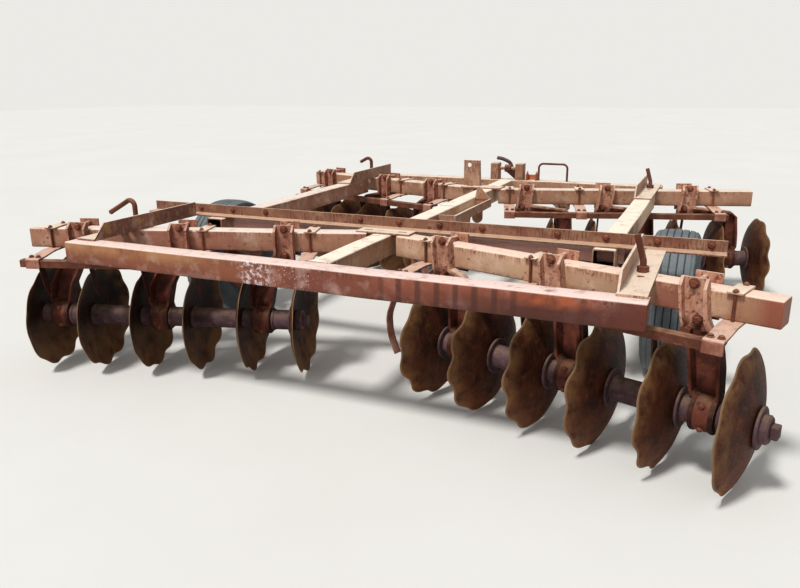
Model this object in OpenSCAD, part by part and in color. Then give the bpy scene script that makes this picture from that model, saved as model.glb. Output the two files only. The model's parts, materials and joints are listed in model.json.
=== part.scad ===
// Trailed tandem disc harrow: four gangs of six notched discs under a box-tube frame,
// carried over the road by two wheels on a cranked lift shaft.
// X is to the right, +Y is the way of travel and Z is up; the ground is at Z = 0.

/* [Discs and gangs] */
// Outside diameter of a disc, as worn
disc_d = 560; // [500:5:610]
// Thickness of the disc steel
disc_t = 6; // [5:0.5:8]
// How deep a disc is dished
disc_dish = 65; // [50:1:80]
// Notches round a disc's rim
disc_notches = 10; // [8:1:12]
// Discs on one gang
gang_discs = 6; // [4:1:7]
// Distance from one disc to the next along the gang
disc_pitch = 280; // [260:5:300]
// Distance of the innermost disc's hub from the middle of the machine, along the gang
first_hub = 444; // [400:1:480]
// Angle of a gang to the X axis, in degrees
gang_angle = 17; // [12:0.5:20]
// Outside diameter of a spool
spool_d = 104; // [90:1:120]
// Length of a bearing housing
bearing_len = 92; // [80:1:110]

/* [Frame] */
// Width and height of every box tube of the frame
tube = 105; // [90:1:120]
// Wall of the box tubes
tube_wall = 6; // [4:0.5:8]
// Height of the top of the frame above the ground
frame_top = 736; // [720:1:780]
// Length of the rear cross tube
rear_tube_len = 2770; // [2600:10:2900]
// Length of the front cross tube
front_tube_len = 2320; // [2200:10:2400]
// Distance from the rear face of the rear tube to that of the front tube
frame_len = 3030; // [2980:10:3100]
// Distance of each side tube's centre from the middle
side_x = 1095; // [1060:5:1110]
// Length of a gang beam
beam_len = 1795; // [1700:5:1850]
// Length of the angle iron that ties the rear beams
angle_iron_len = 3220; // [3000:10:3300]

/* [Wheels and lift] */
// Outside diameter of a tyre
tyre_d = 750; // [720:5:760]
// Width of a tyre
tyre_w = 240; // [220:5:260]
// Diameter of the rim at the tyre's bead
rim_d = 381; // [360:1:400]
// Distance of each wheel's centre from the middle
wheel_x = 1380; // [1370:5:1400]
// Length of a wheel arm, from the lift shaft to the wheel's axle
arm_len = 484; // [470:1:500]
// Length of the lift lever
lever_len = 200; // [180:1:210]

/* [Drawbar] */
// Distance from the drawbar's hinge to the hitch hole
drawbar_len = 1500; // [1300:10:1700]
// Diameter of the hitch hole
hitch_hole_d = 33; // [28:0.5:40]
// Height of the hitch hole's plate above the ground
hitch_z = 440; // [400:5:480]

/* [Hidden] */
$fn = 32;
slack = 0.5;
steel = [0.62, 0.36, 0.28];
cream = [0.80, 0.66, 0.52];
rust = [0.45, 0.27, 0.20];
rubber = [0.40, 0.45, 0.50];

// Places along Y, with the origin under the middle of the harrow's outline
rear_y = -2277;
front_y = rear_y + frame_len;
shaft_y = rear_y + 950;
tube_z = frame_top - tube / 2;
side_start = rear_y + 800;
side_end = front_y - 340;

// A gang's own frame: u outward along the gang, v forward, from where the axle meets the middle.
axle_z = disc_d / 2;
rear_axis_y = rear_y + 687;
front_axis_y = front_y - 630;
beam_v = 121;
beam_rear_v = beam_v - tube / 2;
beam_front_v = beam_v + tube / 2;
rear_beam_start = 65;
front_beam_start = 120;
sphere_r = (disc_d * disc_d / 4 + disc_dish * disc_dish) / (2 * disc_dish);
hub_hole_d = 40;

// How far the dish has risen from the hub at radius r
function dish_at(r) = sphere_r - sqrt(sphere_r * sphere_r - r * r);

washer_d = 165;
washer_at = disc_t + 1;
last_hub = first_hub + (gang_discs - 1) * disc_pitch;

// Places along a gang, in the order of gang_no: rear right, rear left, front right, front left.
// Hangers: the top of each clamp, and the disc on the inner side of its leg
clamp_u = [[372, 955, 1554], [495, 1063, 1630], [320, 880, 1440], [500, 975, 1600]];
leg_disc = [0, 2, 4];
// How far a clamp leans outward on its way down
clamp_lean = [27, 0, -28, 0];
// Left and right edge of a leg at its neck, thigh, knee and shin, outward of that disc's hub
leg_edges = [
    [[-8, 112], [8, 128], [20, 138], [38, 150]],
    [[45, 165], [75, 200], [100, 225], [112, 228]],
    [[78, 195], [76, 198], [78, 200], [84, 198]],
    [[78, 195], [76, 198], [78, 200], [84, 198]]];
bearing_out = [101, 168, 140, 140];
neck_z = disc_d + 6;
leg_levels = [neck_z, axle_z + 220, axle_z + 170, axle_z + 85];
washer_t = 12;

// Place of a gang in the rows of the two tables above
function gang_no(side, front) = (front ? 2 : 0) + (side > 0 ? 0 : 1);
clamp_w = 104;
clamp_top = frame_top + 38;
flange_depth = 34;
cast_wall = 12;
housing_d = 140;
journal_d = 76;

// Scraper bars, behind and above the discs, with their straps
bar_v = -112;
bar_size = 40;
bar_h = 50;
bar_top = disc_d + 47;
strap_u = [[266, 853, 1700], [360, 940, 1790], [200, 690, 1600], [385, 815, 1740]];
bar_end = [1735, 1865, 1655, 1780];
strap_w = 75;
strap_t = 10;
clip_w = 60;
clip_t = 8;
clip_bolt_d = 12;
clip_bolt_v = tube / 2 + clip_bolt_d / 2 + 2;
clip_reach = 2 * clip_bolt_v + 20;

// Lift
arm_drop = tube_z - tyre_d / 2;
arm_reach = sqrt(arm_len * arm_len - arm_drop * arm_drop);
wheel_y = shaft_y + arm_reach;
wheel_z = tyre_d / 2;
shaft_d = 80;
shaft_z = tube_z;
arm_x = 1187;
arm_t = 20;
axle_d = 45;
lever_x = 128;
lever_gap = 44;
lever_t = 14;
pin_gap = 1;
anchor_y = shaft_y + 620;
anchor_z = 540;
lift_pin_d = 25;
eye_w = 38;
barrel_d = 90;
rod_d = 38;
cylinder_len = sqrt(pow(anchor_y - shaft_y, 2) + pow(anchor_z - shaft_z + lever_len, 2));
cylinder_tilt = atan2(anchor_z - shaft_z + lever_len, anchor_y - shaft_y);
barrel_len = 400;

// Drawbar
hinge_y = front_y + 55;
hinge_z = 560;
hinge_x = 450;
hitch_y = hinge_y + drawbar_len;
mast_x = 85;
mast_y = front_y + 55;
mast_pin_z = frame_top + 85;
link_y = hinge_y + 640;
link_z = hinge_z + 40;
link_gap = 46;
link_pin_d = 26;
link_len = sqrt(pow(link_y - mast_y, 2) + pow(link_z - mast_pin_z, 2));
link_tilt = atan2(link_z - mast_pin_z, link_y - mast_y);

// A box tube along X with open ends, its middle at the origin
module box_tube(len) {
    difference() {
        cube([len, tube, tube], center = true);
        cube([len + 2, tube - 2 * tube_wall, tube - 2 * tube_wall], center = true);
    }
}

// The same with a plate closing each end
module capped_tube(len) {
    difference() {
        cube([len, tube, tube], center = true);
        cube([len - 2 * tube_wall, tube - 2 * tube_wall, tube - 2 * tube_wall], center = true);
    }
}

// Puts its children, drawn in a gang's own frame, at one of the four gangs
module at_gang(side, front) {
    turn = front ? gang_angle : -gang_angle;
    mirror([side < 0 ? 1 : 0, 0, 0])
        translate([0, front ? front_axis_y : rear_axis_y, 0])
            rotate([0, 0, turn]) children();
}

// Cylinder along X from x0 to x1
module bar_x(x0, x1, d) {
    translate([x0, 0, 0]) rotate([0, 90, 0]) cylinder(h = x1 - x0, d = d);
}

module rear_tube() color(steel)
    translate([0, rear_y + tube / 2, tube_z]) capped_tube(rear_tube_len);

module front_tube() color(cream)
    translate([0, front_y + tube / 2, tube_z]) capped_tube(front_tube_len);

module middle_tube() color(cream) {
    length = frame_len - tube;
    translate([0, rear_y + tube + length / 2, tube_z]) difference() {
        rotate([0, 0, 90]) box_tube(length);
        translate([0, shaft_y - rear_y - tube - length / 2, 0]) bar_x(-tube, tube, shaft_d + 2 * slack);
    }
}

module side_tube(side) color(cream) {
    length = side_end - side_start;
    translate([side * side_x, side_start + length / 2, tube_z]) difference() {
        rotate([0, 0, 90]) box_tube(length);
        translate([0, shaft_y - side_start - length / 2, 0]) bar_x(-tube, tube, shaft_d + 2 * slack);
    }
}

module left_side_tube() side_tube(-1);
module right_side_tube() side_tube(1);

// Angle iron lying across the rear beams, its upright flange at the front and cut back at the ends
module rear_angle_iron() color(steel) {
    flange = 75;
    thick = 8;
    upright = 60;
    translate([-angle_iron_len / 2, rear_y + 840, frame_top]) {
        cube([angle_iron_len, flange, thick]);
        translate([0, flange, 0]) rotate([90, 0, 0]) linear_extrude(thick)
            polygon([[0, 0], [angle_iron_len, 0], [angle_iron_len, thick], [angle_iron_len - upright, upright],
                [upright, upright], [0, thick]]);
    }
}

plate_t = 10;

// Slotted plate over the middle tube that holds the inner ends of two gang beams
module joint_plate(y, reach, left, right) color(cream)
    translate([0, y, frame_top]) difference() {
        translate([-left, -reach / 2, 0]) cube([left + right, reach, plate_t]);
        for (x = [-left + 55, right - 55]) translate([x, 0, plate_t / 2])
            cube([44, 18, plate_t + 2], center = true);
    }

module rear_joint_plate() joint_plate(rear_y + 792, 94, 150, 150);

// The front one also carries a channel-shaped post with a hole near its top
module front_joint_plate() {
    y = front_y - 480;
    post_w = 120;
    post_h = 185;
    post_depth = 50;
    joint_plate(y, 110, 190, 105);
    color(cream) translate([-185, y, frame_top + plate_t]) difference() {
        union() {
            cube([post_w, plate_t, post_h]);
            for (x = [0, post_w - plate_t]) translate([x, 0, 0]) rotate([90, 0, 90]) linear_extrude(plate_t)
                polygon([[0, 0], [post_depth, 0], [post_depth / 2, post_h], [0, post_h]]);
        }
        translate([42, -1, post_h - 34]) rotate([-90, 0, 0]) cylinder(h = plate_t + 2, d = 30);
    }
}

// Channel that bridges over a gang beam: flange below, web on its inner side
module corner_bracket(side, x, y0, y1) {
    web_h = 80;
    slope = 330;
    mirror([side < 0 ? 1 : 0, 0, 0]) translate([x, y0, frame_top]) {
        difference() {
            cube([bracket_w, y1 - y0, plate_t]);
            translate([bracket_w / 2, pin_y(x + bracket_w / 2, y0), -1]) {
                cylinder(h = plate_t + 2, d = pin_d + 8);
                translate([0, -75, 0]) cylinder(h = plate_t + 2, d = pin_d + 4);
            }
        }
        rotate([90, 0, 90]) linear_extrude(plate_t)
            polygon([[20, plate_t], [y1 - y0, plate_t], [y1 - y0, web_h], [slope, web_h]]);
    }
}

// Where a gang beam's centre line passes under a bracket, from the bracket's near end
function beam_centre_y(x, front) = front
    ? front_axis_y + x * tan(gang_angle) + beam_v / cos(gang_angle)
    : rear_axis_y - x * tan(gang_angle) + beam_v / cos(gang_angle);
function pin_y(x, y0) = beam_centre_y(x, y0 > shaft_y) - y0;
bracket_rear_x = 1250;
bracket_front_x = 1040;
bracket_w = 110;
pin_d = 26;

module rear_corner_brackets() color(cream)
    for (side = [-1, 1]) corner_bracket(side, bracket_rear_x, rear_y + 60, rear_y + 838);

module front_corner_brackets() color(cream)
    for (side = [-1, 1]) corner_bracket(side, bracket_front_x, front_y - 660, front_y + tube - 10);

// Rod along +Z that bends over towards -X: straight part, bend and a handle that is let into the bend's end
module bent_rod(straight, bend_r, bend_angle, handle, d) {
    let_in = 1;
    cylinder(h = straight, d = d);
    translate([-bend_r, 0, straight]) rotate([90, 0, 0]) rotate_extrude(angle = bend_angle)
        translate([bend_r, 0]) circle(d = d);
    translate([bend_r * (cos(bend_angle) - 1), 0, straight + bend_r * sin(bend_angle)])
        rotate([0, -bend_angle, 0]) translate([0, 0, -let_in]) cylinder(h = handle + let_in, d = d - 0.4);
}

// Stout pins dropped through the brackets into the beams: worn to a lean on the right, hooked over on the left
module gang_pins() color(rust)
    for (side = [-1, 1], front = [false, true]) {
        x = (front ? bracket_front_x : bracket_rear_x) + bracket_w / 2;
        translate([side * x, beam_centre_y(x, front), frame_top]) {
            if (side > 0) bent_rod(46, 60, 17, front ? 88 : 100, pin_d);
            else bent_rod(118, 30, 118, front ? 60 : 150, pin_d);
            translate([0, 0, plate_t]) cylinder(h = 24, d = 48, $fn = 6);
        }
    }

// Beam with the clips over it whose bolts hold the scraper's straps
module gang_beam(side, front) color(cream) at_gang(side, front) {
    start = front ? front_beam_start : rear_beam_start;
    end = rear_beam_start + beam_len;
    translate([(start + end) / 2, beam_v, tube_z]) capped_tube(end - start);
    for (u = strap_u[gang_no(side, front)]) {
        translate([u - clip_w / 2, beam_v - clip_reach / 2, frame_top]) cube([clip_w, clip_reach, clip_t]);
        for (v = [-1, 1]) translate([u, beam_v + v * clip_bolt_v, frame_top - tube])
            cylinder(h = tube + clip_t + 12, d = clip_bolt_d);
    }
}

module rear_right_beam() gang_beam(1, false);
module rear_left_beam() gang_beam(-1, false);
module front_right_beam() gang_beam(1, true);
module front_left_beam() gang_beam(-1, true);

// Solid between two outlines: rows of [z, left, right] seen from the rear, and side, a polygon of [v, z]
module between(rows, side) {
    last = len(rows) - 1;
    intersection() {
        translate([0, 250, 0]) rotate([90, 0, 0]) linear_extrude(500)
            polygon(concat([for (r = rows) [r[1], r[0]]],
                [for (i = [last : -1 : 0]) [rows[i][2], rows[i][0]]]));
        rotate([90, 0, 90]) linear_extrude(last_hub + disc_pitch) polygon(side);
    }
}

// Cast hanger, a channel open to the rear from its clamp through neck and knee to the bearing.
// top is the clamp's middle, low the same at its foot, hub the disc beside the leg.
module casting(top, low, hub, edges, bearing) {
    half = clamp_w / 2;
    wall = cast_wall;
    mid = (top + 2 * low) / 3;
    neck = edges[0];
    beam_low = frame_top - tube;
    web_v = beam_rear_v - wall;
    leg = [for (i = [0 : 3]) [leg_levels[i], hub + edges[i][0], hub + edges[i][1]]];
    hollow = [for (i = [0 : 3]) [leg_levels[i], hub + edges[i][0] + wall, hub + edges[i][1] - wall]];
    difference() {
        between(concat([[clamp_top, top - half, top + half], [beam_low, mid - half, mid + half],
                [neck_z + 36, low - half, hub + neck[1] - 40], [neck_z + 6, low - half, hub + neck[1] - 6]], leg,
                [[axle_z + 60, bearing - bearing_len / 2, bearing + bearing_len / 2],
                    [axle_z, bearing - bearing_len / 2, bearing + bearing_len / 2]]),
            [[beam_rear_v, clamp_top], [web_v, clamp_top], [web_v - flange_depth, clamp_top - 30],
                [web_v - flange_depth, neck_z + 36], [-30, axle_z + 110], [-42, axle_z], [42, axle_z],
                [36, axle_z + 90], [beam_rear_v - 10, axle_z + 170], [beam_rear_v, neck_z]]);
        between(concat([[clamp_top + 1, top - half + wall, top + half - wall],
                [beam_low - wall, mid - half + wall, mid + half - wall],
                [neck_z + 36 - wall, low - half + wall, hub + neck[1] - 40 - wall],
                [neck_z + 6 + wall, low - half + wall, hub + neck[1] - 20 - wall],
                [neck_z + 5 + wall, hub + neck[0] + wall, hub + neck[1] - 20 - wall]], hollow,
                [[axle_z + 50, bearing - 20, bearing + 20]]),
            [[web_v, clamp_top + 1], [-200, clamp_top + 1], [-200, axle_z + 50], [26, axle_z + 50],
                [24, axle_z + 90], [web_v - 10, axle_z + 170], [web_v, neck_z]]);
    }
}

module hanger(top, lean, hub, edges, bearing) {
    low = top + lean;
    plate_low = frame_top - tube - 40;
    difference() {
        union() {
            casting(top, low, hub, edges, bearing);
            translate([(top + low - clamp_w) / 2, beam_front_v, plate_low]) cube([clamp_w, plate_t, tube + 78]);
            for (bolt = [[top, frame_top + 16], [low, frame_top - tube - 16]])
                translate([bolt[0], beam_rear_v - plate_t, bolt[1]])
                    rotate([-90, 0, 0]) cylinder(h = tube + 2 * plate_t, d = 22);
            translate([bearing, 0, axle_z]) bar_x(-bearing_len / 2, bearing_len / 2, housing_d);
        }
        translate([bearing, 0, axle_z]) bar_x(-bearing_len, bearing_len, journal_d + 2 * slack);
    }
}

module gang_hangers(side, front) color(steel) {
    no = gang_no(side, front);
    at_gang(side, front) for (i = [0 : 2]) {
        hub = first_hub + leg_disc[i] * disc_pitch;
        hanger(clamp_u[no][i], clamp_lean[no], hub, leg_edges[no], hub + bearing_out[no]);
    }
}

module rear_right_hangers() gang_hangers(1, false);
module rear_left_hangers() gang_hangers(-1, false);
module front_right_hangers() gang_hangers(1, true);
module front_left_hangers() gang_hangers(-1, true);

// Angle bar with a pointed blade for each disc that it reaches, carried by bent straps under the beam
module gang_scraper(side, front) color(rust) at_gang(side, front) {
    no = gang_no(side, front);
    dish = front ? disc_dish : -disc_dish;
    rear = bar_v - bar_size / 2;
    start = strap_u[no][0] - strap_w / 2;
    beam_low = frame_top - tube;
    blade_t = 6;
    blade_h = 200;
    translate([start, rear, bar_top - bar_h]) {
        cube([bar_end[no] - start, blade_t, bar_h]);
        translate([0, 0, bar_h - blade_t]) cube([bar_end[no] - start, bar_size, blade_t]);
    }
    for (i = [0 : gang_discs - 1]) {
        u = first_hub + i * disc_pitch + dish + (front ? 12 : -18);
        if (u + blade_t < bar_end[no]) translate([u, bar_v, bar_top - blade_t]) rotate([12, 0, 0])
            rotate([90, 0, 90]) linear_extrude(blade_t)
                polygon([[-22, 2], [-22, -blade_h * 0.7], [0, -blade_h], [22, -blade_h * 0.7], [22, 2]]);
    }
    for (u = strap_u[no]) translate([u - strap_w / 2, 0, 0]) rotate([90, 0, 90]) linear_extrude(strap_w)
        polygon([[beam_front_v + 16, beam_low], [14, beam_low], [bar_v + 26, bar_top + strap_t],
            [rear - strap_t, bar_top + strap_t], [rear - strap_t, bar_top - bar_h + 6],
            [rear, bar_top - bar_h + 6], [rear, bar_top], [bar_v + 30, bar_top],
            [18, beam_low - strap_t], [beam_front_v + 16, beam_low - strap_t]]);
}

module rear_right_scraper() gang_scraper(1, false);
module rear_left_scraper() gang_scraper(-1, false);
module front_right_scraper() gang_scraper(1, true);
module front_left_scraper() gang_scraper(-1, true);

// Outline of a worn notched disc
module disc_outline() {
    notch_r = 60;
    notch_depth = 17;
    difference() {
        circle(d = disc_d, $fn = 30);
        for (i = [0 : disc_notches - 1]) rotate((i + 0.5) * 360 / disc_notches)
            translate([disc_d / 2 + notch_r - notch_depth, 0]) circle(r = notch_r, $fn = 20);
        rotate(45) circle(d = hub_hole_d, $fn = 4);
    }
}

// Dished disc with its hub at the origin, its hollow side facing +X
module disc() {
    rings = [0, 110, 200, disc_d / 2 + 5];
    back = [for (i = [len(rings) - 1 : -1 : 0]) rings[i]];
    intersection() {
        rotate([0, 90, 0]) linear_extrude(disc_dish * 4, center = true) disc_outline();
        rotate([0, 90, 0]) rotate_extrude($fn = 30)
            polygon(concat([for (r = rings) [r, dish_at(r)]], [for (r = back) [r, dish_at(r) - disc_t]]));
    }
}

module gang_disc_set(side, front) color(rust) at_gang(side, front)
    for (i = [0 : gang_discs - 1]) translate([first_hub + i * disc_pitch, 0, axle_z])
        mirror([front ? 0 : 1, 0, 0]) disc();

module rear_right_discs() gang_disc_set(1, false);
module rear_left_discs() gang_disc_set(-1, false);
module front_right_discs() gang_disc_set(1, true);
module front_left_discs() gang_disc_set(-1, true);

// Square gang bolt with spools, bearing journals, washers behind the discs and end nuts
module gang_axle(side, front) color(rust) at_gang(side, front) translate([0, 0, axle_z]) {
    bolt = 27;
    back = front ? -1 : 1;
    translate([first_hub - 70, -bolt / 2, -bolt / 2]) cube([last_hub - first_hub + 140, bolt, bolt]);
    for (i = [0 : gang_discs - 1]) translate([first_hub + i * disc_pitch, 0, 0]) {
        translate([back * (washer_at + washer_t / 2), 0, 0]) bar_x(-washer_t / 2, washer_t / 2, washer_d);
        if (i < gang_discs - 1 && i % 2 == 1) bar_x(washer_at, disc_pitch - washer_at, spool_d);
        if (i < gang_discs - 1 && i % 2 == 0) bearing_spools(bearing_out[gang_no(side, front)]);
    }
    for (hub = [first_hub, last_hub]) translate([hub, 0, 0]) {
        s = hub == first_hub ? -1 : 1;
        translate([s * 28, 0, 0]) bar_x(-20, 20, 110);
        translate([s * 62, 0, 0]) cube([28, 50, 50], center = true);
    }
}

// Journal in a bearing, with a spool on each side of it
module bearing_spools(bearing) {
    reach = bearing_len / 2 + 6;
    bar_x(washer_at, bearing - reach, spool_d);
    bar_x(bearing - reach - 1, bearing + reach + 1, journal_d);
    bar_x(bearing + reach, disc_pitch - washer_at, spool_d);
}

module rear_right_axle() gang_axle(1, false);
module rear_left_axle() gang_axle(-1, false);
module front_right_axle() gang_axle(1, true);
module front_left_axle() gang_axle(-1, true);

// Channel on the middle tube's right side with two ears that hold the cylinder,
// and at its front end a gusset, a boss and a rounded lug below
module cylinder_bracket() color(cream) {
    wall = 8;
    side_x = tube / 2;
    out_x = lever_x + lever_gap / 2 + 12;
    shelf_z = frame_top - 60;
    y0 = shaft_y + 460;
    y1 = shaft_y + 1160;
    lug_w = 70;
    translate([side_x, y0, shelf_z]) cube([out_x - side_x, y1 - y0, wall]);
    translate([out_x - wall, y0, shelf_z]) cube([wall, y1 - y0, frame_top - shelf_z - 6]);
    for (y = [y0, y1 - wall]) translate([side_x, y, shelf_z])
        cube([out_x - side_x, wall, frame_top - shelf_z - 6]);
    translate([side_x, y1 - wall, frame_top - 10]) rotate([90, 0, 0]) linear_extrude(wall)
        polygon([[0, 0], [out_x - side_x, 0], [lug_w / 2, 80], [lug_w / 2 - 20, 80]]);
    translate([(side_x + out_x) / 2, y1 - 1, frame_top - 34]) rotate([-90, 0, 0]) cylinder(h = 46, d = 52);
    translate([(side_x + out_x) / 2, y1 - 120, 0]) rotate([90, 0, 0]) linear_extrude(12) {
        translate([-lug_w / 2, frame_top - 116]) square([lug_w, shelf_z - frame_top + 117]);
        translate([0, frame_top - 116]) circle(d = lug_w);
    }
    for (x = [lever_x - lever_gap / 2 - 12, lever_x + lever_gap / 2]) translate([x, anchor_y, anchor_z])
        rotate([90, 0, 90]) linear_extrude(12) hull() {
            circle(r = 36);
            translate([-36, shelf_z - anchor_z]) square([150, wall / 2]);
        }
    translate([0, anchor_y, anchor_z])
        bar_x(lever_x - lever_gap / 2 - 20, lever_x + lever_gap / 2 + 20, lift_pin_d);
}

// Cross shaft with the lift lever: two plates that hold the ends of the rod's pin
module lift_shaft() color(steel) {
    translate([0, shaft_y, shaft_z]) bar_x(-arm_x + arm_t / 2, arm_x - arm_t / 2, shaft_d);
    translate([lever_x, shaft_y, shaft_z]) for (side = [-1, 1]) mirror([side < 0 ? 1 : 0, 0, 0]) {
        translate([lever_gap / 2, 0, 0]) rotate([90, 0, 90]) linear_extrude(lever_t) hull() {
            translate([-48, -60]) square([96, 60]);
            translate([0, -lever_len]) circle(r = 34);
        }
        translate([lever_gap / 2 + lever_t, 0, -lever_len]) bar_x(0, 10, lift_pin_d + 10);
    }
}

// Arm on the end of the cross shaft, with the wheel's stub axle
module wheel_arm(side) color(steel) mirror([side < 0 ? 1 : 0, 0, 0]) {
    translate([arm_x - arm_t / 2, shaft_y, shaft_z]) rotate([-atan2(arm_drop, arm_reach), 0, 0])
        union() {
            translate([0, 0, -55]) cube([arm_t, arm_len + 20, 110]);
            bar_x(0, arm_t, 110);
        }
    translate([0, wheel_y, wheel_z]) bar_x(arm_x, wheel_x + 70, axle_d);
}

module right_wheel_arm() wheel_arm(1);
module left_wheel_arm() wheel_arm(-1);

// Puts its children at the cylinder's anchor, +Y pointing away from the rod's eye
module at_anchor() {
    translate([lever_x, anchor_y, anchor_z]) rotate([cylinder_tilt, 0, 0]) children();
}

module lift_barrel() color(rust) at_anchor() difference() {
    union() {
        bar_x(-eye_w / 2, eye_w / 2, 56);
        translate([0, -18, 0]) rotate([90, 0, 0]) cylinder(h = 40, d = eye_w);
        translate([0, -45, 0]) rotate([90, 0, 0]) cylinder(h = barrel_len - 45, d = barrel_d);
    }
    bar_x(-eye_w, eye_w, lift_pin_d + 2 * slack);
    translate([0, -60, 0]) rotate([90, 0, 0]) cylinder(h = barrel_len, d = rod_d + 2 * slack);
}

// Rod with its eye and the middle of its pin, which runs free between the lever's plates
module lift_rod() color([0.6, 0.6, 0.62]) at_anchor() {
    translate([0, -cylinder_len, 0]) {
        bar_x(-eye_w / 2, eye_w / 2, 54);
        bar_x(-lever_gap / 2 + pin_gap, lever_gap / 2 - pin_gap, lift_pin_d);
    }
    translate([0, -cylinder_len + 20, 0]) rotate([-90, 0, 0]) cylinder(h = cylinder_len - 310, d = rod_d);
}

// Steel rim with a dished centre and a hub; its middle plane is at x = 0
module rim_shape() {
    half = 88;
    well = rim_d / 2 - 22;
    lip = rim_d / 2 + 14;
    difference() {
        rotate([0, 90, 0]) rotate_extrude($fn = 48) polygon([[12, -70], [58, -70], [58, -20], [well, 0],
            [well, -half + 8], [lip, -half], [lip, -half + 6], [well + 8, -half + 14],
            [well + 8, half - 14], [lip, half - 6], [lip, half], [well, half - 8],
            [well, 10], [58, -8], [58, 66], [12, 66]]);
        bar_x(-200, 200, axle_d + 2 * slack);
    }
}

module wheel_place(side) {
    translate([side * wheel_x, wheel_y, wheel_z]) mirror([side < 0 ? 1 : 0, 0, 0]) children();
}

module right_rim() color(steel) wheel_place(1) rim_shape();
module left_rim() color(steel) wheel_place(-1) rim_shape();

// Tyre with rounded shoulders
module tyre_shape() {
    bead = rim_d / 2 - 13;
    out = tyre_d / 2;
    half = tyre_w / 2;
    rotate([0, 90, 0]) rotate_extrude($fn = 64) polygon([[bead, -71], [bead + 29, -79], [bead + 60, -half],
        [out - 70, -half], [out - 22, -half + 14], [out - 3, -half + 50], [out, 0], [out - 3, half - 50],
        [out - 22, half - 14], [out - 70, half], [bead + 60, half], [bead + 29, 79], [bead, 71]]);
}

module right_tyre() color(rubber) wheel_place(1) tyre_shape();
module left_tyre() color(rubber) wheel_place(-1) tyre_shape();

// Two posts on the front tube and the drawbar's hinge lugs below it
module hitch_mast() color(cream) {
    for (side = [-1, 1]) {
        translate([side * mast_x - 30 + side * 14, front_y + 5, frame_top]) cube([60, 90, 125]);
        for (s = [-1, 1]) translate([side * hinge_x + s * 35 - 6, front_y + 5, hinge_z - 40])
            cube([12, 95, frame_top - tube - hinge_z + 40]);
        translate([0, hinge_y, hinge_z]) bar_x(side * hinge_x - 48, side * hinge_x + 48, 30);
    }
    translate([0, mast_y, mast_pin_z]) bar_x(-mast_x, mast_x, 26);
    for (x = [150, 222]) translate([x, front_y + 20, frame_top]) rotate([90, 0, 90]) linear_extrude(8)
        polygon([[0, 0], [70, 0], [70, 40], [40, 72], [0, 50]]);
    translate([150, front_y + 82, frame_top]) cube([80, 8, 40]);
}

// Bent rod with rounded corners that carries the hoses
module hose_loop() color(rust) {
    rod = 16;
    bend_r = 34;
    left = 245;
    right = 465;
    rise = 130 - bend_r;
    translate([(left + right) / 2, front_y + tube / 2, frame_top]) for (side = [0, 1]) mirror([side, 0, 0])
        translate([(right - left) / 2, 0, 0]) bent_rod(rise, bend_r, 90, (right - left) / 2 - bend_r + 1, rod);
}

// A-shaped drawbar from its two hinge sleeves to the hitch plate
module drawbar() color(cream) {
    bar = 80;
    drop = hinge_z - hitch_z;
    difference() {
        union() {
            for (side = [-1, 1]) {
                translate([side * hinge_x, hinge_y, hinge_z]) bar_x(-28, 28, 64);
                translate([side * hinge_x - 28, hinge_y, hinge_z - 24]) cube([56, 90, 48]);
                spread = atan2(hinge_x - 40, drawbar_len - 200);
                length = sqrt(pow(hinge_x - 40, 2) + pow(drawbar_len - 200, 2));
                translate([side * hinge_x, hinge_y, hinge_z])
                    rotate([-atan2(drop, drawbar_len), 0, side * spread])
                        translate([-bar / 2, 66, -bar / 2]) cube([bar, length - 56, bar]);
            }
            translate([-250, hinge_y + 600, hinge_z - 88]) cube([500, bar, bar]);
            for (side = [-1, 1]) mirror([side < 0 ? 1 : 0, 0, 0]) {
                translate([link_gap / 2, link_y - 30, hinge_z - 12]) cube([12, 60, link_z - hinge_z + 42]);
                translate([link_gap / 2 + 12, link_y, link_z]) bar_x(0, 10, link_pin_d + 10);
            }
            translate([-70, hitch_y - 320, hitch_z - 20]) cube([140, 320, 40]);
            translate([0, hitch_y, hitch_z - 20]) cylinder(h = 40, d = 140);
        }
        translate([0, hitch_y, hitch_z - 30]) cylinder(h = 60, d = hitch_hole_d);
        for (side = [-1, 1]) translate([side * hinge_x, hinge_y, hinge_z]) bar_x(-60, 60, 30 + 2 * slack);
    }
}

// Puts its children at the mast pin, +Y pointing to the drawbar's link pin
module at_link() {
    translate([0, mast_y, mast_pin_z]) rotate([link_tilt, 0, 0]) children();
}

module levelling_tube() color(rust) at_link() difference() {
    union() {
        bar_x(-24, 24, 58);
        translate([0, 24, 0]) rotate([-90, 0, 0]) cylinder(h = 360, d = 60);
    }
    bar_x(-60, 60, 26 + 2 * slack);
    translate([0, 60, 0]) rotate([-90, 0, 0]) cylinder(h = 400, d = 34);
}

// Screw with its eye and the middle of its pin, which runs free between the drawbar's ears
module levelling_rod() color(rust) at_link() {
    translate([0, link_len, 0]) {
        bar_x(-20, 20, 52);
        bar_x(-link_gap / 2 + pin_gap, link_gap / 2 - pin_gap, link_pin_d);
    }
    translate([0, 220, 0]) rotate([-90, 0, 0]) cylinder(h = link_len - 240, d = 32);
}

rear_tube();
front_tube();
middle_tube();
left_side_tube();
right_side_tube();
rear_angle_iron();
rear_joint_plate();
front_joint_plate();
rear_corner_brackets();
front_corner_brackets();
rear_right_beam();
rear_left_beam();
front_right_beam();
front_left_beam();
rear_right_hangers();
rear_left_hangers();
front_right_hangers();
front_left_hangers();
rear_right_scraper();
rear_left_scraper();
front_right_scraper();
front_left_scraper();
rear_right_discs();
rear_left_discs();
front_right_discs();
front_left_discs();
rear_right_axle();
rear_left_axle();
front_right_axle();
front_left_axle();
gang_pins();
cylinder_bracket();
lift_shaft();
right_wheel_arm();
left_wheel_arm();
lift_barrel();
lift_rod();
right_rim();
left_rim();
right_tyre();
left_tyre();
hitch_mast();
hose_loop();
drawbar();
levelling_tube();
levelling_rod();
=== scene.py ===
import json
import math

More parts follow.
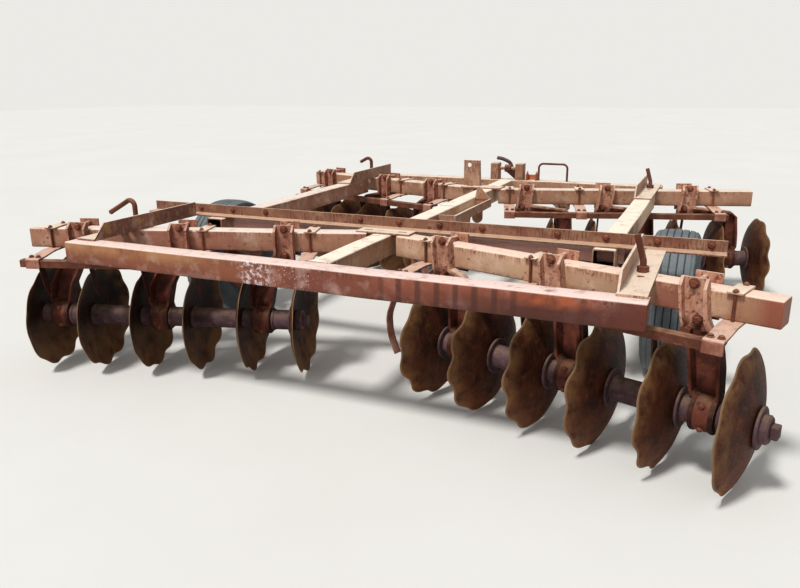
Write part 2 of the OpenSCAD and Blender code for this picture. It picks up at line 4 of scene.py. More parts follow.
import bmesh
import bpy
import numpy as np
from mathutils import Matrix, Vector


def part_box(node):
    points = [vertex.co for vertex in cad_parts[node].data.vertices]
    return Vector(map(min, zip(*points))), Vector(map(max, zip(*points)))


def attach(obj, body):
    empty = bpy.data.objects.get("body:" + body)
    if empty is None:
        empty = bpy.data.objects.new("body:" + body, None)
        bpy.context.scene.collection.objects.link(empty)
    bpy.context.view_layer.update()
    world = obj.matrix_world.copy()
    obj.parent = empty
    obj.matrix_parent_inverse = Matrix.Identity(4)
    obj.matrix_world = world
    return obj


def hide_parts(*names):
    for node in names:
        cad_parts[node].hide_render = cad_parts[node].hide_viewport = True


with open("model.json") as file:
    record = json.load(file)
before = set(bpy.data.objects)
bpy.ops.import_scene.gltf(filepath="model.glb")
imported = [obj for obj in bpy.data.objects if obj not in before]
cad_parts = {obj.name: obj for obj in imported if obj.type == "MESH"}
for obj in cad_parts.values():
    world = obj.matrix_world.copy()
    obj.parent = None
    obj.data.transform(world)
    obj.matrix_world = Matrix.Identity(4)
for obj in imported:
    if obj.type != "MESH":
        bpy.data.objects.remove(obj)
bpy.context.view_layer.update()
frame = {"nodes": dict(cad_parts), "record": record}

# Lengths are in metres, and MM turns millimetres into them
MM = 0.001
RECORD = frame["record"]
JOINTS = {joint["name"]: joint for joint in RECORD["behaviour"]["joints"]}
BODY_OF = {node: body for body, nodes in RECORD["behaviour"]["bodies"].items() for node in nodes}
SLOT_OF = {part["node"]: part["material_slot"] for part in RECORD["subparts"]}
ENDS = ("rear", "front")
SIDES = ("right", "left")
# Right is +X, ahead is +Y and up is +Z
SIGN = {"right": 1, "left": -1}
BACK, AHEAD, UP, DOWN = (0, -1, 0), (0, 1, 0), (0, 0, 1), (0, 0, -1)


def corners(node):
    """The lowest and the highest corner of a CAD node's box."""
    return [np.array(corner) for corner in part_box(node)]


# The frame's box tubes, whose height and places come from the CAD
REAR_TUBE = corners("rear_tube")
REAR_Y = REAR_TUBE[0][1]
TOP = REAR_TUBE[1][2]
TUBE = TOP - REAR_TUBE[0][2]
TUBE_Z = TOP - TUBE / 2
TUBE_ROUND = 9 * MM
TUBE_WALL = 6 * MM
TUBE_LIP = 12 * MM
LINING_DEPTH = 400 * MM
# The rear tube's right end is this much shorter in the photo than in the CAD
REAR_TUBE_SHORT = 18 * MM
# How far apart the rings of a long piece stand, and how far it wanders, as bent and knocked steel does
RING_STEP = 60 * MM
WANDER = 0.7 * MM
# Edges that turn by more degrees than this look sharp
SHARP = 35

# A gang: its discs, the spools between them and the beam that carries it, with v measured forward of its bolt
DISC_R = 280 * MM
DISC_T = 6 * MM
DISC_DISH = 65 * MM
NOTCHES = 10
NOTCH_DEPTH = 19 * MM
HUBS = 6
PITCH = 280 * MM
FIRST_HUB = 444 * MM
HUB_U = [FIRST_HUB + i * PITCH for i in range(HUBS)]
HUNG_HUBS = (0, 2, 4)
AXLE_Z = DISC_R
SPOOL_R = 52 * MM
BEARING_LEN = 92 * MM
BEAM_V = 121 * MM
BEAM_BACK = BEAM_V - TUBE / 2
BEAM_FRONT = BEAM_V + TUBE / 2
CLAMP_WEB = 12 * MM
CLIP_BOLT_V = TUBE / 2 + 8 * MM
CLIP_T = 8 * MM

# The scraper: an angle bar behind the gang, held by bent straps from the beam
SCRAPER_V = -112 * MM
SCRAPER_BAR = 40 * MM
SCRAPER_TALL = 50 * MM
SCRAPER_FLANGE = 38 * MM
SCRAPER_STEEL = 6 * MM
SCRAPER_TOP = 607 * MM
STRAP_W = 75 * MM
STRAP_T = 10 * MM

# For each gang, in millimetres along it: where its beam starts and ends, its three clamps and how far they
# lean outward on their way down, how far outward of the hub beside them the bearings are, and its scraper's
# straps and end. The CAD ends all beams at 1860; in the photo the rear left one is longer and the front left
# one shorter. The paint is the beam's.
GANGS = {
    ("rear", "right"): {"beam": (65, 1860), "clamps": (372, 955, 1554), "lean": 27, "bearing": 101,
                        "straps": (266, 853, 1700), "bar_end": 1735, "paint": "beam_enamel"},
    ("rear", "left"): {"beam": (65, 1920), "clamps": (495, 1063, 1630), "lean": 0, "bearing": 168,
                       "straps": (360, 940, 1790), "bar_end": 1865, "paint": "rosy_enamel"},
    ("front", "right"): {"beam": (120, 1860), "clamps": (320, 880, 1440), "lean": -28, "bearing": 140,
                         "straps": (200, 690, 1600), "bar_end": 1655, "paint": "cream_enamel"},
    ("front", "left"): {"beam": (120, 1800), "clamps": (500, 975, 1600), "lean": 0, "bearing": 140,
                        "straps": (385, 815, 1740), "bar_end": 1780, "paint": "cream_enamel"},
}
# Which way the discs' hollows look along a gang: inward at the rear, outward at the front
HOLLOW = {"rear": -1, "front": 1}

# Bolts and nuts, in millimetres: across the corners of the hexagon, up to its top, and the washer's radius
BOLTS = {
    "clamp bolt": (32, 18, 21),
    "clamp nut": (32, 20, 22),
    "foot bolt": (20, 12, 12),
    "bearing bolt": (20, 14, 12),
    "blade bolt": (17, 22, 10),
    "strap bolt": (22, 13, 14),
    "strap nut": (22, 12, 13),
    "clip nut": (20, 10, 12),
    "angle iron bolt": (26, 14, 18),
    "wheel bolt": (24, 16, 15),
}


def camera_like_the_photo():
    """Sets the camera where a fit to the photo puts it: heading left of +Y, tipped down, hardly rolled."""
    heading, down, roll = math.radians(24.10), math.radians(16.33), math.radians(-0.51)
    focal_px, photo_w, sensor_w = 720.2, 800, 36.0
    x, behind, z = 1.555, 2.510, 1.475
    level, drop = math.cos(down), math.sin(down)
    ahead = np.array([-math.sin(heading) * level, math.cos(heading) * level, -drop])
    right = np.array([math.cos(heading), math.sin(heading), 0.0])
    up = np.cross(right, ahead)
    matrix = np.eye(4)
    matrix[:3, 0] = math.cos(roll) * right + math.sin(roll) * up
    matrix[:3, 1] = -math.sin(roll) * right + math.cos(roll) * up
    matrix[:3, 2] = -ahead
    matrix[:3, 3] = (x, REAR_Y - behind, z)
    camera = bpy.data.objects.new("camera", bpy.data.cameras.new("camera"))
    camera.data.sensor_fit = "HORIZONTAL"
    camera.data.sensor_width = sensor_w
    camera.data.lens = focal_px / photo_w * sensor_w
    camera.data.clip_end = 200.0
    camera.matrix_world = matrix.T.tolist()
    bpy.context.scene.collection.objects.link(camera)
    bpy.context.scene.camera = camera


def linear(colour):
    """An sRGB hex colour as linear red, green, blue and alpha."""
    parts = [int(colour[i:i + 2], 16) / 255 for i in (1, 3, 5)]
    return [c / 12.92 if c <= 0.04045 else ((c + 0.055) / 1.055) ** 2.4 for c in parts] + [1.0]


def add(tree, kind, settings=None, values=None, links=None):
    """Adds a shader node: settings are its properties, values its inputs' numbers, links their sources."""
    node = tree.nodes.new("ShaderNode" + kind)
    for key, value in (settings or {}).items():
        setattr(node, key, value)
    for key, value in (values or {}).items():
        node.inputs[key].default_value = value
    for key, socket in (links or {}).items():
        tree.links.new(socket, node.inputs[key])
    return node


def patches(tree, size_mm, low, high, shift=0.0, stretch=(1, 1, 1), detail=5.0):
    """A mask of soft patches about size_mm across: 0 where noise is under low and 1 where it is over high."""
    place = add(tree, "TexCoord")
    scale = [1000.0 / size_mm / s for s in stretch]
    move = add(tree, "Mapping", values={"Scale": scale, "Location": (shift, shift * 0.7, shift * 1.3)},
               links={"Vector": place.outputs["Object"]})
    cloud = add(tree, "TexNoise", values={"Scale": 1.0, "Detail": detail, "Roughness": 0.6},
                links={"Vector": move.outputs[0]})
    return add(tree, "MapRange", values={"From Min": low, "From Max": high},
               links={"Value": cloud.outputs[0]}).outputs[0]


def facing_up(tree, low=0.35, high=0.9):
    """A mask: 1 where the surface looks up, where sun, rain and dust reach it, and 0 on its sides."""
    way = add(tree, "NewGeometry")
    parts = add(tree, "SeparateXYZ", links={"Vector": way.outputs["Normal"]})
    return add(tree, "MapRange", values={"From Min": low, "From Max": high},
               links={"Value": parts.outputs["Z"]}).outputs[0]


def rising(tree, axis, low, high):
    """A mask that goes from 0 at low metres along an axis of the machine to 1 at high, which may be the lower
    of the two."""
    place = add(tree, "TexCoord")
    parts = add(tree, "SeparateXYZ", links={"Vector": place.outputs["Object"]})
    return add(tree, "MapRange", values={"From Min": low, "From Max": high},
               links={"Value": parts.outputs[axis]}).outputs[0]


def within(tree, axis, low, full, fading, high):
    """Two masks of a stretch of the machine: one rises from low to full, one falls from fading to high."""
    return rising(tree, axis, low, full), rising(tree, axis, high, fading)


def coats(tree, below, *layers):
    """Lays colours over the colour below, one after another. A layer is a colour, its strength and the masks
    that say where it lies, and it covers by the product of them all."""
    for colour, strength, *masks in layers:
        share = masks[0]
        for mask in masks[1:]:
            share = add(tree, "Math", {"operation": "MULTIPLY"}, links={0: share, 1: mask}).outputs[0]
        share = add(tree, "Math", {"operation": "MULTIPLY"}, {1: strength}, {0: share}).outputs[0]
        mix = add(tree, "Mix", {"data_type": "RGBA"}, {7: linear(colour)}, {0: share})
        if isinstance(below, str):
            mix.inputs[6].default_value = linear(below)
        else:
            tree.links.new(below, mix.inputs[6])
        below = mix.outputs[2]
    return below


def surface(name, build):
    """A material from what build(tree) gives: colour and the bump's height as sockets, the bump's depth in
    millimetres, a mask with the roughness at its 0 and at its 1, and the plain values of the shader."""
    material = bpy.data.materials.new(name)
    material.use_nodes = True
    tree = material.node_tree
    tree.nodes.clear()
    made = build(tree)
    links = {"Base Color": made["colour"]}
    if "rough" in made:
        mask, low, high = made["rough"]
        rough = add(tree, "MapRange", values={"To Min": low, "To Max": high}, links={"Value": mask})
        links["Roughness"] = rough.outputs[0]
    bump = add(tree, "Bump", values={"Strength": 0.9, "Distance": made["bump_mm"] * MM},
               links={"Height": made["height"]})
    links["Normal"] = bump.outputs[0]
    shader = add(tree, "BsdfPrincipled", values=made["values"], links=links)
    add(tree, "OutputMaterial", links={"Surface": shader.outputs[0]})
    return material


def weathered_enamel(base, shade, rust, bleached, rust_low, top_paleness, seed, marks=None):
    """Brushed enamel on mild steel, chalky after years outside: it fades to pale on top, and that pale top
    also holds painted sunlight; rust shows through in patches, gathers at the lower edge of a tube and runs
    down from its upper edge in short drips. marks(tree, colour) adds what only one piece shows. Roughness is
    high all over."""
    def build(tree):
        def cloud(step, size_mm, low, high, **more):
            return patches(tree, size_mm, low, high, seed + step, **more)

        top = facing_up(tree)
        upper_edge, lower_edge = rising(tree, "Z", 0.696, 0.728), rising(tree, "Z", 0.660, 0.634)
        streaks = cloud(3, 16, 0.50, 0.70, stretch=(1, 1, 5))
        drips = cloud(19, 9, 0.48, 0.58, stretch=(1, 1, 7))
        spots = cloud(8, 30, rust_low + 0.03, rust_low + 0.09, detail=10.0)
        chips = cloud(9, 9, rust_low + 0.06, rust_low + 0.11, detail=8.0)
        colour = coats(tree, base,
                       (shade, 1.0, cloud(0, 260, 0.38, 0.66)),
                       (bleached, 0.30, cloud(2, 90, 0.50, 0.74, detail=7.0)),
                       (rust, 0.25, streaks, cloud(5, 240, 0.42, 0.60)),
                       (rust, 0.75, drips, upper_edge, cloud(21, 170, 0.42, 0.54)),
                       (rust, 0.65, lower_edge, cloud(23, 45, 0.38, 0.58)),
                       (rust, 0.85, spots),
                       ("#4a261b", 0.65, chips))
        if marks:
            colour = marks(tree, colour)
        colour = coats(tree, colour,
                       # The pale top: the paint's real fading, with painted sunlight laid over it
                       (bleached, top_paleness, top, cloud(11, 70, 0.18, 0.46)),
                       (rust, 0.45, top, cloud(29, 14, 0.61, 0.68, detail=9.0)),
                       ("#5a3a2c", 0.22, cloud(13, 6, 0.52, 0.76, detail=7.0)))
        height = add(tree, "Math", {"operation": "ADD", "use_clamp": True},
                     links={0: spots, 1: cloud(17, 6, 0.3, 0.8)}).outputs[0]
        return {"colour": colour, "rough": (spots, 0.55, 0.86), "height": height, "bump_mm": 0.6,
                "values": {"Specular IOR Level": 0.25}}
    return build


def rear_tube_marks(tree, colour):
    """What the rear tube shows: a yellowish upper half at the left, dark runs in the middle, a scuff of pale
    primer, an orange stretch of fresh rust and a dark right end. The runs are the crests of a sine wave along
    X, 78 mm apart; a wave texture of scale 1 has its crests 2 pi / 20 apart."""
    runs_apart, own_period = 78 * MM, 2 * math.pi / 20
    place = add(tree, "TexCoord")
    across = add(tree, "Mapping", values={"Scale": (own_period / runs_apart, 0, 0)},
                 links={"Vector": place.outputs["Object"]})
    bands = add(tree, "TexWave", {"bands_direction": "X"}, {"Scale": 1.0, "Distortion": 1.2, "Detail": 2.0},
                {"Vector": across.outputs[0]})
    runs = add(tree, "MapRange", values={"From Min": 0.62, "From Max": 0.92},
               links={"Value": bands.outputs["Fac"]}).outputs[0]
    middle = within(tree, "X", 0.25, 0.40, 0.90, 1.05)
    orange = within(tree, "X", 0.86, 0.97, 1.10, 1.24)
    scuff = within(tree, "X", -0.36, -0.30, -0.22, -0.15)
    flecks = within(tree, "X", -0.30, -0.20, 0.00, 0.10)
    left_half, left_top = rising(tree, "X", -0.35, -0.75), rising(tree, "Z", 0.670, 0.715)
    right_half, below_top = rising(tree, "X", 0.20, 0.95), rising(tree, "Z", 0.732, 0.690)
    return coats(tree, colour,
                 ("#ad7f52", 0.60, left_half, left_top, patches(tree, 150, 0.34, 0.56, 71.0)),
                 ("#93523a", 0.60, *middle, rising(tree, "Z", 0.650, 0.690)),
                 ("#4c271d", 0.75, runs, *middle),
                 ("#42201a", 0.85, right_half, below_top, patches(tree, 130, 0.16, 0.42, 72.0)),
                 ("#9c4e2a", 0.80, *orange, rising(tree, "Z", 0.672, 0.700),
                  patches(tree, 80, 0.38, 0.58, 73.0)),
                 ("#c9bcc0", 0.85, *scuff, patches(tree, 22, 0.50, 0.58, 75.0, detail=9.0)),
                 ("#d9ccc6", 0.80, *flecks, patches(tree, 8, 0.60, 0.66, 77.0, detail=9.0)),
                 ("#59291d", 0.88, rising(tree, "X", 1.18, 1.30), patches(tree, 160, 0.20, 0.44, 79.0)))


def bracket_marks(tree, colour):
    """The left rear bracket and the clips beside it are the rustiest: brown all over, with patches of yellow
    lichen."""
    left = rising(tree, "X", -1.00, -1.20)
    return coats(tree, colour,
                 ("#74443a", 0.85, left, patches(tree, 60, 0.28, 0.50, 81.0)),
                 ("#b0894f", 0.65, left, patches(tree, 55, 0.52, 0.62, 83.0, detail=8.0)))


def beam_marks(tree, colour):
    """The rear right beam is bare red-brown between the frame and its outer clamp, tan beyond it, and
    red-brown again at its end."""
    inner = within(tree, "X", 1.34, 1.38, 1.46, 1.50)
    return coats(tree, colour,
                 ("#84473a", 0.75, *inner, patches(tree, 70, 0.22, 0.48, 91.0)),
                 ("#8c6045", 0.80, rising(tree, "X", 1.58, 1.66), patches(tree, 80, 0.16, 0.40, 93.0)),
                 ("#80402f", 0.85, rising(tree, "X", 1.69, 1.76), patches(tree, 60, 0.16, 0.44, 97.0)))


def pale_marks(tree, colour):
    """Ahead of the angle iron the middle and the right side tube are paler on their sides too: painted
    sunlight.
    """
    return coats(tree, colour,
                 ("#d8bfa4", 0.65, rising(tree, "Y", -0.60, -0.45), patches(tree, 110, 0.22, 0.52, 95.0)))


def hitch_marks(tree, colour):
    """The little bracket beside the hitch blocks is repainted orange."""
    return coats(tree, colour,
                 ("#b4633c", 0.85, rising(tree, "X", 0.140, 0.148), rising(tree, "Z", 0.690, 0.700)))


def rusted_plate(dark, brown, light, soil, top_paleness, seed):
    """Bare mild steel left to rust: brown and near black in patches, pitted a few millimetres apart,
    with dry soil on top and no gloss."""
    def build(tree):
        pits = patches(tree, 5, 0.35, 0.70, seed + 12, detail=6.0)
        colour = coats(tree, dark,
                       (brown, 1.0, patches(tree, 120, 0.40, 0.62, seed, detail=7.0)),
                       (light, 0.55, patches(tree, 34, 0.55, 0.72, seed + 4, detail=8.0)),
                       (dark, 0.45, patches(tree, 22, 0.48, 0.70, seed + 6, stretch=(1, 1, 9))),
                       (soil, top_paleness, facing_up(tree, 0.2, 0.8), patches(tree, 60, 0.35, 0.60, seed + 9)))
        return {"colour": colour, "rough": (pits, 0.70, 0.92), "height": pits, "bump_mm": 0.7,
                "values": {"Specular IOR Level": 0.2}}
    return build


def painted_casting(tree):
    """Cast iron hangers: enamel, rubbed and rust-spotted, on the clamp above, worn off towards the leg, which
    soil and rain have left dark red-brown, with pale dust on what looks up. The paint's lower border is a
    height that patches push up and down by 50 mm."""
    ragged = patches(tree, 45, 0.0, 1.0, 3.0, detail=7.0)
    push = add(tree, "Math", {"operation": "MULTIPLY_ADD"}, {1: -0.10, 2: 0.05}, {0: ragged}).outputs[0]
    place = add(tree, "TexCoord")
    parts = add(tree, "SeparateXYZ", links={"Vector": place.outputs["Object"]})
    level = add(tree, "Math", {"operation": "ADD"}, links={0: parts.outputs["Z"], 1: push}).outputs[0]
    painted = add(tree, "MapRange", values={"From Min": 0.585, "From Max": 0.625},
                  links={"Value": level}).outputs[0]
    grain = patches(tree, 5, 0.30, 0.75, 21.0, detail=7.0)
    iron = coats(tree, "#3f1d14",
                 ("#673223", 1.0, patches(tree, 70, 0.38, 0.64, detail=8.0)),
                 ("#70432f", 0.50, patches(tree, 26, 0.54, 0.70, 4.0, detail=8.0)),
                 ("#8b6d52", 0.45, facing_up(tree, 0.2, 0.8), patches(tree, 50, 0.35, 0.6, 9.0)))
    paint = coats(tree, "#ac7860",
                  ("#c4957c", 1.0, patches(tree, 60, 0.36, 0.64, 12.0)),
                  ("#84483a", 0.70, rising(tree, "X", 0.6, -0.6), patches(tree, 40, 0.26, 0.54, 13.0)),
                  ("#74402d", 0.42, patches(tree, 14, 0.47, 0.60, 14.0, stretch=(1, 1, 4), detail=9.0)),
                  ("#63301f", 0.85, patches(tree, 22, 0.53, 0.63, 15.0, detail=9.0)),
                  ("#e6c8ae", 0.75, facing_up(tree), patches(tree, 40, 0.30, 0.56, 18.0)))
    colour = add(tree, "Mix", {"data_type": "RGBA"}, links={0: painted, 6: iron, 7: paint}).outputs[2]
    return {"colour": colour, "rough": (grain, 0.60, 0.90), "height": grain, "bump_mm": 0.9,
            "values": {"Specular IOR Level": 0.2}}


def ploughed_disc(tree):
    """Boron steel disc, once polished by soil and now rusted: near black in the hollow and brown on its back,
    both dark rust darkened further as painted shade, redder low down, with sandy dried soil and painted
    sunlight in a band inside the worn rim, dried soil in streaks that run down, khaki painted sunlight low on
    the left discs, and a thin pale edge. The attribute wear goes from 0 at the hub to 1 at the rim, and
    hollow is 1 on the dished face."""
    wear = add(tree, "Attribute", {"attribute_name": "wear"}).outputs["Fac"]
    hollow = add(tree, "Attribute", {"attribute_name": "hollow"}).outputs["Fac"]
    near_rim, edge = [add(tree, "MapRange", values={"From Min": low, "From Max": high},
                          links={"Value": wear}).outputs[0] for low, high in ((0.70, 0.93), (0.965, 0.99))]
    pits = patches(tree, 6, 0.35, 0.72, 12.0, detail=6.0)
    # The back: rust, darkened further as painted shade
    back = coats(tree, "#2a120a",
                 ("#462212", 1.0, patches(tree, 90, 0.36, 0.62, detail=8.0)),
                 ("#6b4027", 0.5, patches(tree, 30, 0.54, 0.74, 2.0, detail=8.0)))
    # The hollow: near black, dark rust with painted shade over it
    inside = coats(tree, "#140806",
                   ("#28130d", 1.0, patches(tree, 80, 0.38, 0.62, 3.0, detail=8.0)),
                   ("#52301e", 0.5, patches(tree, 28, 0.56, 0.70, 4.0, detail=8.0)))
    colour = add(tree, "Mix", {"data_type": "RGBA"}, links={0: hollow, 6: back, 7: inside}).outputs[2]
    on_left, lower = rising(tree, "X", 0.15, -0.15), rising(tree, "Z", 0.30, 0.10)
    runs = patches(tree, 14, 0.50, 0.66, 7.0, stretch=(1, 1, 10))
    colour = coats(tree, colour,
                   # The band inside the rim: sandy soil, lightened further as painted sunlight on the rim
                   ("#7d5936", 0.55, near_rim, patches(tree, 55, 0.34, 0.60, 5.0, detail=7.0)),
                   ("#7c401e", 0.50, rising(tree, "Z", 0.28, 0.05), patches(tree, 60, 0.36, 0.58, 8.0)),
                   # Khaki low on the left discs: painted sunlight
                   ("#86633f", 0.60, on_left, lower, patches(tree, 110, 0.36, 0.60, 10.0)),
                   ("#755740", 0.24, runs, patches(tree, 160, 0.44, 0.62, 9.0)),
                   ("#96785a", 0.50, edge))
    return {"colour": colour, "rough": (pits, 0.50, 0.86), "height": pits, "bump_mm": 0.6,
            "values": {"Specular IOR Level": 0.15}}


def bleached_rubber(tree):
    """Tyre rubber bleached grey by the sun on its tread and blue-grey on its walls, with fine cracks, dust in
    patches and no gloss. The attribute tread is 1 on the ribs and 0 on the walls."""
    tread = add(tree, "Attribute", {"attribute_name": "tread"}).outputs["Fac"]
    wall = coats(tree, "#30363b", ("#3f464b", 1.0, patches(tree, 120, 0.36, 0.64)))
    ribs = coats(tree, "#596063", ("#6e7475", 1.0, patches(tree, 160, 0.36, 0.64, 5.0)))
    colour = add(tree, "Mix", {"data_type": "RGBA"}, links={0: tread, 6: wall, 7: ribs}).outputs[2]
    colour = coats(tree, colour,
                   ("#3b4247", 0.5, patches(tree, 12, 0.54, 0.74, 4.0, detail=8.0)),
                   ("#94866f", 0.4, patches(tree, 70, 0.58, 0.76, 9.0)))
    cracks = patches(tree, 7, 0.40, 0.66, 2.0, stretch=(4, 1, 1))
    return {"colour": colour, "rough": (cracks, 0.66, 0.88), "height": cracks, "bump_mm": 0.5, "values": {}}


def dulled_chrome(tree):
    """Hard chrome on a cylinder's rod, dulled by rain: grey metal with brown specks."""
    specks = patches(tree, 8, 0.60, 0.72, detail=8.0)
    colour = coats(tree, "#8f8f90", ("#6b4632", 0.8, specks))
    return {"colour": colour, "rough": (specks, 0.28, 0.7), "height": specks, "bump_mm": 0.1,
            "values": {"Metallic": 0.9}}


def studio_floor(tree):
    """Pale matt studio floor."""
    colour = coats(tree, "#dbd8d2", ("#d6d3cc", 1.0, patches(tree, 1500, 0.3, 0.7)))
    return {"colour": colour, "height": patches(tree, 40, 0.3, 0.7), "bump_mm": 0.2,
            "values": {"Roughness": 0.9}}


# Enamels: paint, its shade, rust, bleached paint, the noise above which rust starts, how far the top is
# bleached and lit by painted sunlight, the shift of the patches, and marks of one piece's own
ENAMELS = {
    "brick_enamel": ("#703c2d", "#7e472f", "#4e291e", "#efd2c6", 0.60, 0.97, 0.0, rear_tube_marks),
    "cream_enamel": ("#a57b60", "#956b52", "#6f3c2a", "#ecd6c0", 0.58, 0.92, 20.0),
    "rosy_enamel": ("#94604c", "#a47a5e", "#6b3628", "#f0dccb", 0.58, 0.95, 25.0),
    "beam_enamel": ("#bd977a", "#aa8062", "#74402d", "#f3d3bd", 0.58, 0.95, 27.0, beam_marks),
    "pale_enamel": ("#a87d5f", "#966c50", "#74432e", "#f9ead4", 0.61, 0.97, 30.0, pale_marks),
    "pink_enamel": ("#9d6955", "#885242", "#633428", "#dcb8a2", 0.60, 0.80, 40.0),
    # The cross shaft's pink is paler than its paint: painted sunlight on a shaft that stands in the angle
    # iron's shade
    "shaft_enamel": ("#e8b09e", "#dc9c8a", "#bb7d69", "#f4d6c8", 0.63, 0.85, 45.0),
    "angle_enamel": ("#85604b", "#774a37", "#5b2f22", "#cfa98b", 0.57, 0.88, 50.0),
    "clip_enamel": ("#c19d84", "#a98068", "#74422e", "#ecd5be", 0.60, 0.90, 55.0, bracket_marks),
    "hitch_enamel": ("#a87d5f", "#8c5c48", "#6b3a2a", "#dcc0a8", 0.56, 0.80, 35.0, hitch_marks),
    "red_rim_enamel": ("#83382a", "#6f2d20", "#4c261b", "#a8806a", 0.58, 0.40, 60.0),
}
# Rusted steel: dark, brown and light rust, dry soil, how much of it lies on top, and the shift of the patches
RUSTED = {
    "rusted_casting": ("#2b1510", "#47241b", "#633627", "#8b6d52", 0.40, 1.0),
    "rusted_bar": ("#522b1f", "#6c3f2e", "#8c5842", "#ad866a", 0.50, 11.0),
    "rusted_axle": ("#3d2a2a", "#5b4247", "#7b5b50", "#8d7259", 0.50, 21.0),
    "rusted_bolt": ("#5a2c20", "#7a4431", "#9a5c44", "#b08a70", 0.45, 31.0),
    # Near black: dark rust with painted shade inside the open tubes
    "tube_inside": ("#120a08", "#22130e", "#37211a", "#8b6d52", 0.20, 41.0),
}
FINISHES = {name: weathered_enamel(*look) for name, look in ENAMELS.items()}
FINISHES.update({name: rusted_plate(*look) for name, look in RUSTED.items()})
FINISHES.update({"painted_casting": painted_casting, "disc_steel": ploughed_disc,
                 "bleached_rubber": bleached_rubber, "dulled_chrome": dulled_chrome,
                 "studio_floor": studio_floor})
MATERIALS = {name: surface(name, build) for name, build in FINISHES.items()}


def install(name, mesh, material, sharp_deg, body, stands_for):
    """Makes an object of a mesh: it gets a material, and rides on a body in the place of CAD nodes."""
    mesh.materials.clear()
    mesh.materials.append(MATERIALS[material])
    mesh.shade_smooth()
    mesh.set_sharp_from_angle(angle=math.radians(sharp_deg))
    thing = bpy.data.objects.new(name, mesh)
    bpy.context.scene.collection.objects.link(thing)
    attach(thing, body)
    if stands_for:
        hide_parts(*stands_for)
    return thing


def piece(name, parts, material, body, slot, stands_for=(), attributes=None, sharp_deg=SHARP):
    """One object made of patches. A patch is an array of points and a list of arrays of faces."""
    points, loops, sizes, first = [], [], [], 0
    for part_points, part_faces in parts:
        points.append(part_points)
        for faces in part_faces:
            loops.append((faces + first).ravel())
            sizes.append(np.full(len(faces), faces.shape[1]))
        first += len(part_points)
    points, loops, sizes = np.concatenate(points), np.concatenate(loops), np.concatenate(sizes)
    mesh = bpy.data.meshes.new(name)
    mesh.vertices.add(len(points))
    mesh.vertices.foreach_set("co", points.astype(np.float32).ravel())
    mesh.loops.add(len(loops))
    mesh.loops.foreach_set("vertex_index", loops.astype(np.int32))
    mesh.polygons.add(len(sizes))
    mesh.polygons.foreach_set("loop_start", np.concatenate([[0], np.cumsum(sizes)[:-1]]).astype(np.int32))
    mesh.polygons.foreach_set("loop_total", sizes.astype(np.int32))
    mesh.update(calc_edges=True)
    mesh.validate()
    for key, values in (attributes or {}).items():
        layer = mesh.attributes.new(key, "FLOAT", "POINT")
        layer.data.foreach_set("value", values.astype(np.float32))
    install(name, mesh, material, sharp_deg, body, stands_for)


def rounded_copy(node, material, width_mm, reshape=None):
    """A copy of a CAD node, its doubles merged and its flat faces joined, with its edges rounded by a bevel.
    reshape(points) may move the copy's corners first."""
    mesh = frame["nodes"][node].data.copy()
    if reshape:
        points = np.zeros(len(mesh.vertices) * 3, np.float32)
        mesh.vertices.foreach_get("co", points)
        mesh.vertices.foreach_set("co", reshape(points.reshape(-1, 3)).ravel())
    work = bmesh.new()
    work.from_mesh(mesh)
    bmesh.ops.remove_doubles(work, verts=work.verts, dist=0.01 * MM)
    bmesh.ops.dissolve_limit(work, angle_limit=math.radians(1.0), verts=work.verts, edges=work.edges)
    work.to_mesh(mesh)
    work.free()
    thing = install(node + "_finished", mesh, material, SHARP, BODY_OF[node], [node])
    bevel = thing.modifiers.new("rounded edges", "BEVEL")
    bevel.width = width_mm * MM
    bevel.segments = 2
    bevel.limit_method = "ANGLE"
    bevel.angle_limit = math.radians(40)
    bevel.harden_normals = True


def shell(rings, closed_ends=True):
    """A grid of rings (rows, cols, 3) as a patch, each column joined to the next and the last to the first;
    each end is closed by a fan of thin faces to its middle point."""
    rows, cols = rings.shape[:2]
    row, col = np.arange(rows - 1)[:, None] * cols, np.arange(cols)
    after = (col + 1) % cols
    grid = np.stack([row + col, row + after, row + cols + after, row + cols + col], axis=-1).reshape(-1, 4)
    if not closed_ends:
        return rings.reshape(-1, 3), [grid]
    points = np.concatenate([rings.reshape(-1, 3), rings[0].mean(0)[None, :], rings[-1].mean(0)[None, :]])
    last = (rows - 1) * cols
    start, end = np.full(cols, rows * cols), np.full(cols, rows * cols + 1)
    fans = [np.stack([after, col, start], axis=-1), np.stack([last + col, last + after, end], axis=-1)]
    return points, [grid] + fans


def moved(patch, origin, axes=None):
    """A patch carried to an origin and three axes, given as rows; mirrored axes turn its faces over."""
    points, faces = patch
    if axes is not None:
        axes = np.asarray(axes, float)
        points = points @ axes
        if np.linalg.det(axes) < 0:
            faces = [f[:, ::-1] for f in faces]
    return points + np.asarray(origin, float), faces


def facing(direction):
    """Three axes: the first along a direction, the third as near to upright as it can be, or to +Y where the
    first is upright itself."""
    first = np.asarray(direction, float) / np.linalg.norm(direction)
    up = np.array([0.0, 1.0, 0.0] if abs(first[2]) > 0.95 else [0.0, 0.0, 1.0])
    third = up - (up @ first) * first
    third /= np.linalg.norm(third)
    return np.array([first, np.cross(third, first), third])


def rounded_rectangle(width, height, radius, steps=4):
    """Outline of a rectangle with round corners: four arcs of steps + 1 points each, anticlockwise."""
    angle = np.linspace(0, math.pi / 2, steps + 1)
    arc = radius * np.stack([np.cos(angle), np.sin(angle)], axis=-1)
    middles = np.array([[1, 1], [-1, 1], [-1, -1], [1, -1]]) * (np.array([width, height]) / 2 - radius)
    turns = [np.array([[c, s], [-s, c]]) for c, s in ((1, 0), (0, 1), (-1, 0), (0, -1))]
    return np.concatenate([middle + arc @ turn for middle, turn in zip(middles, turns)])


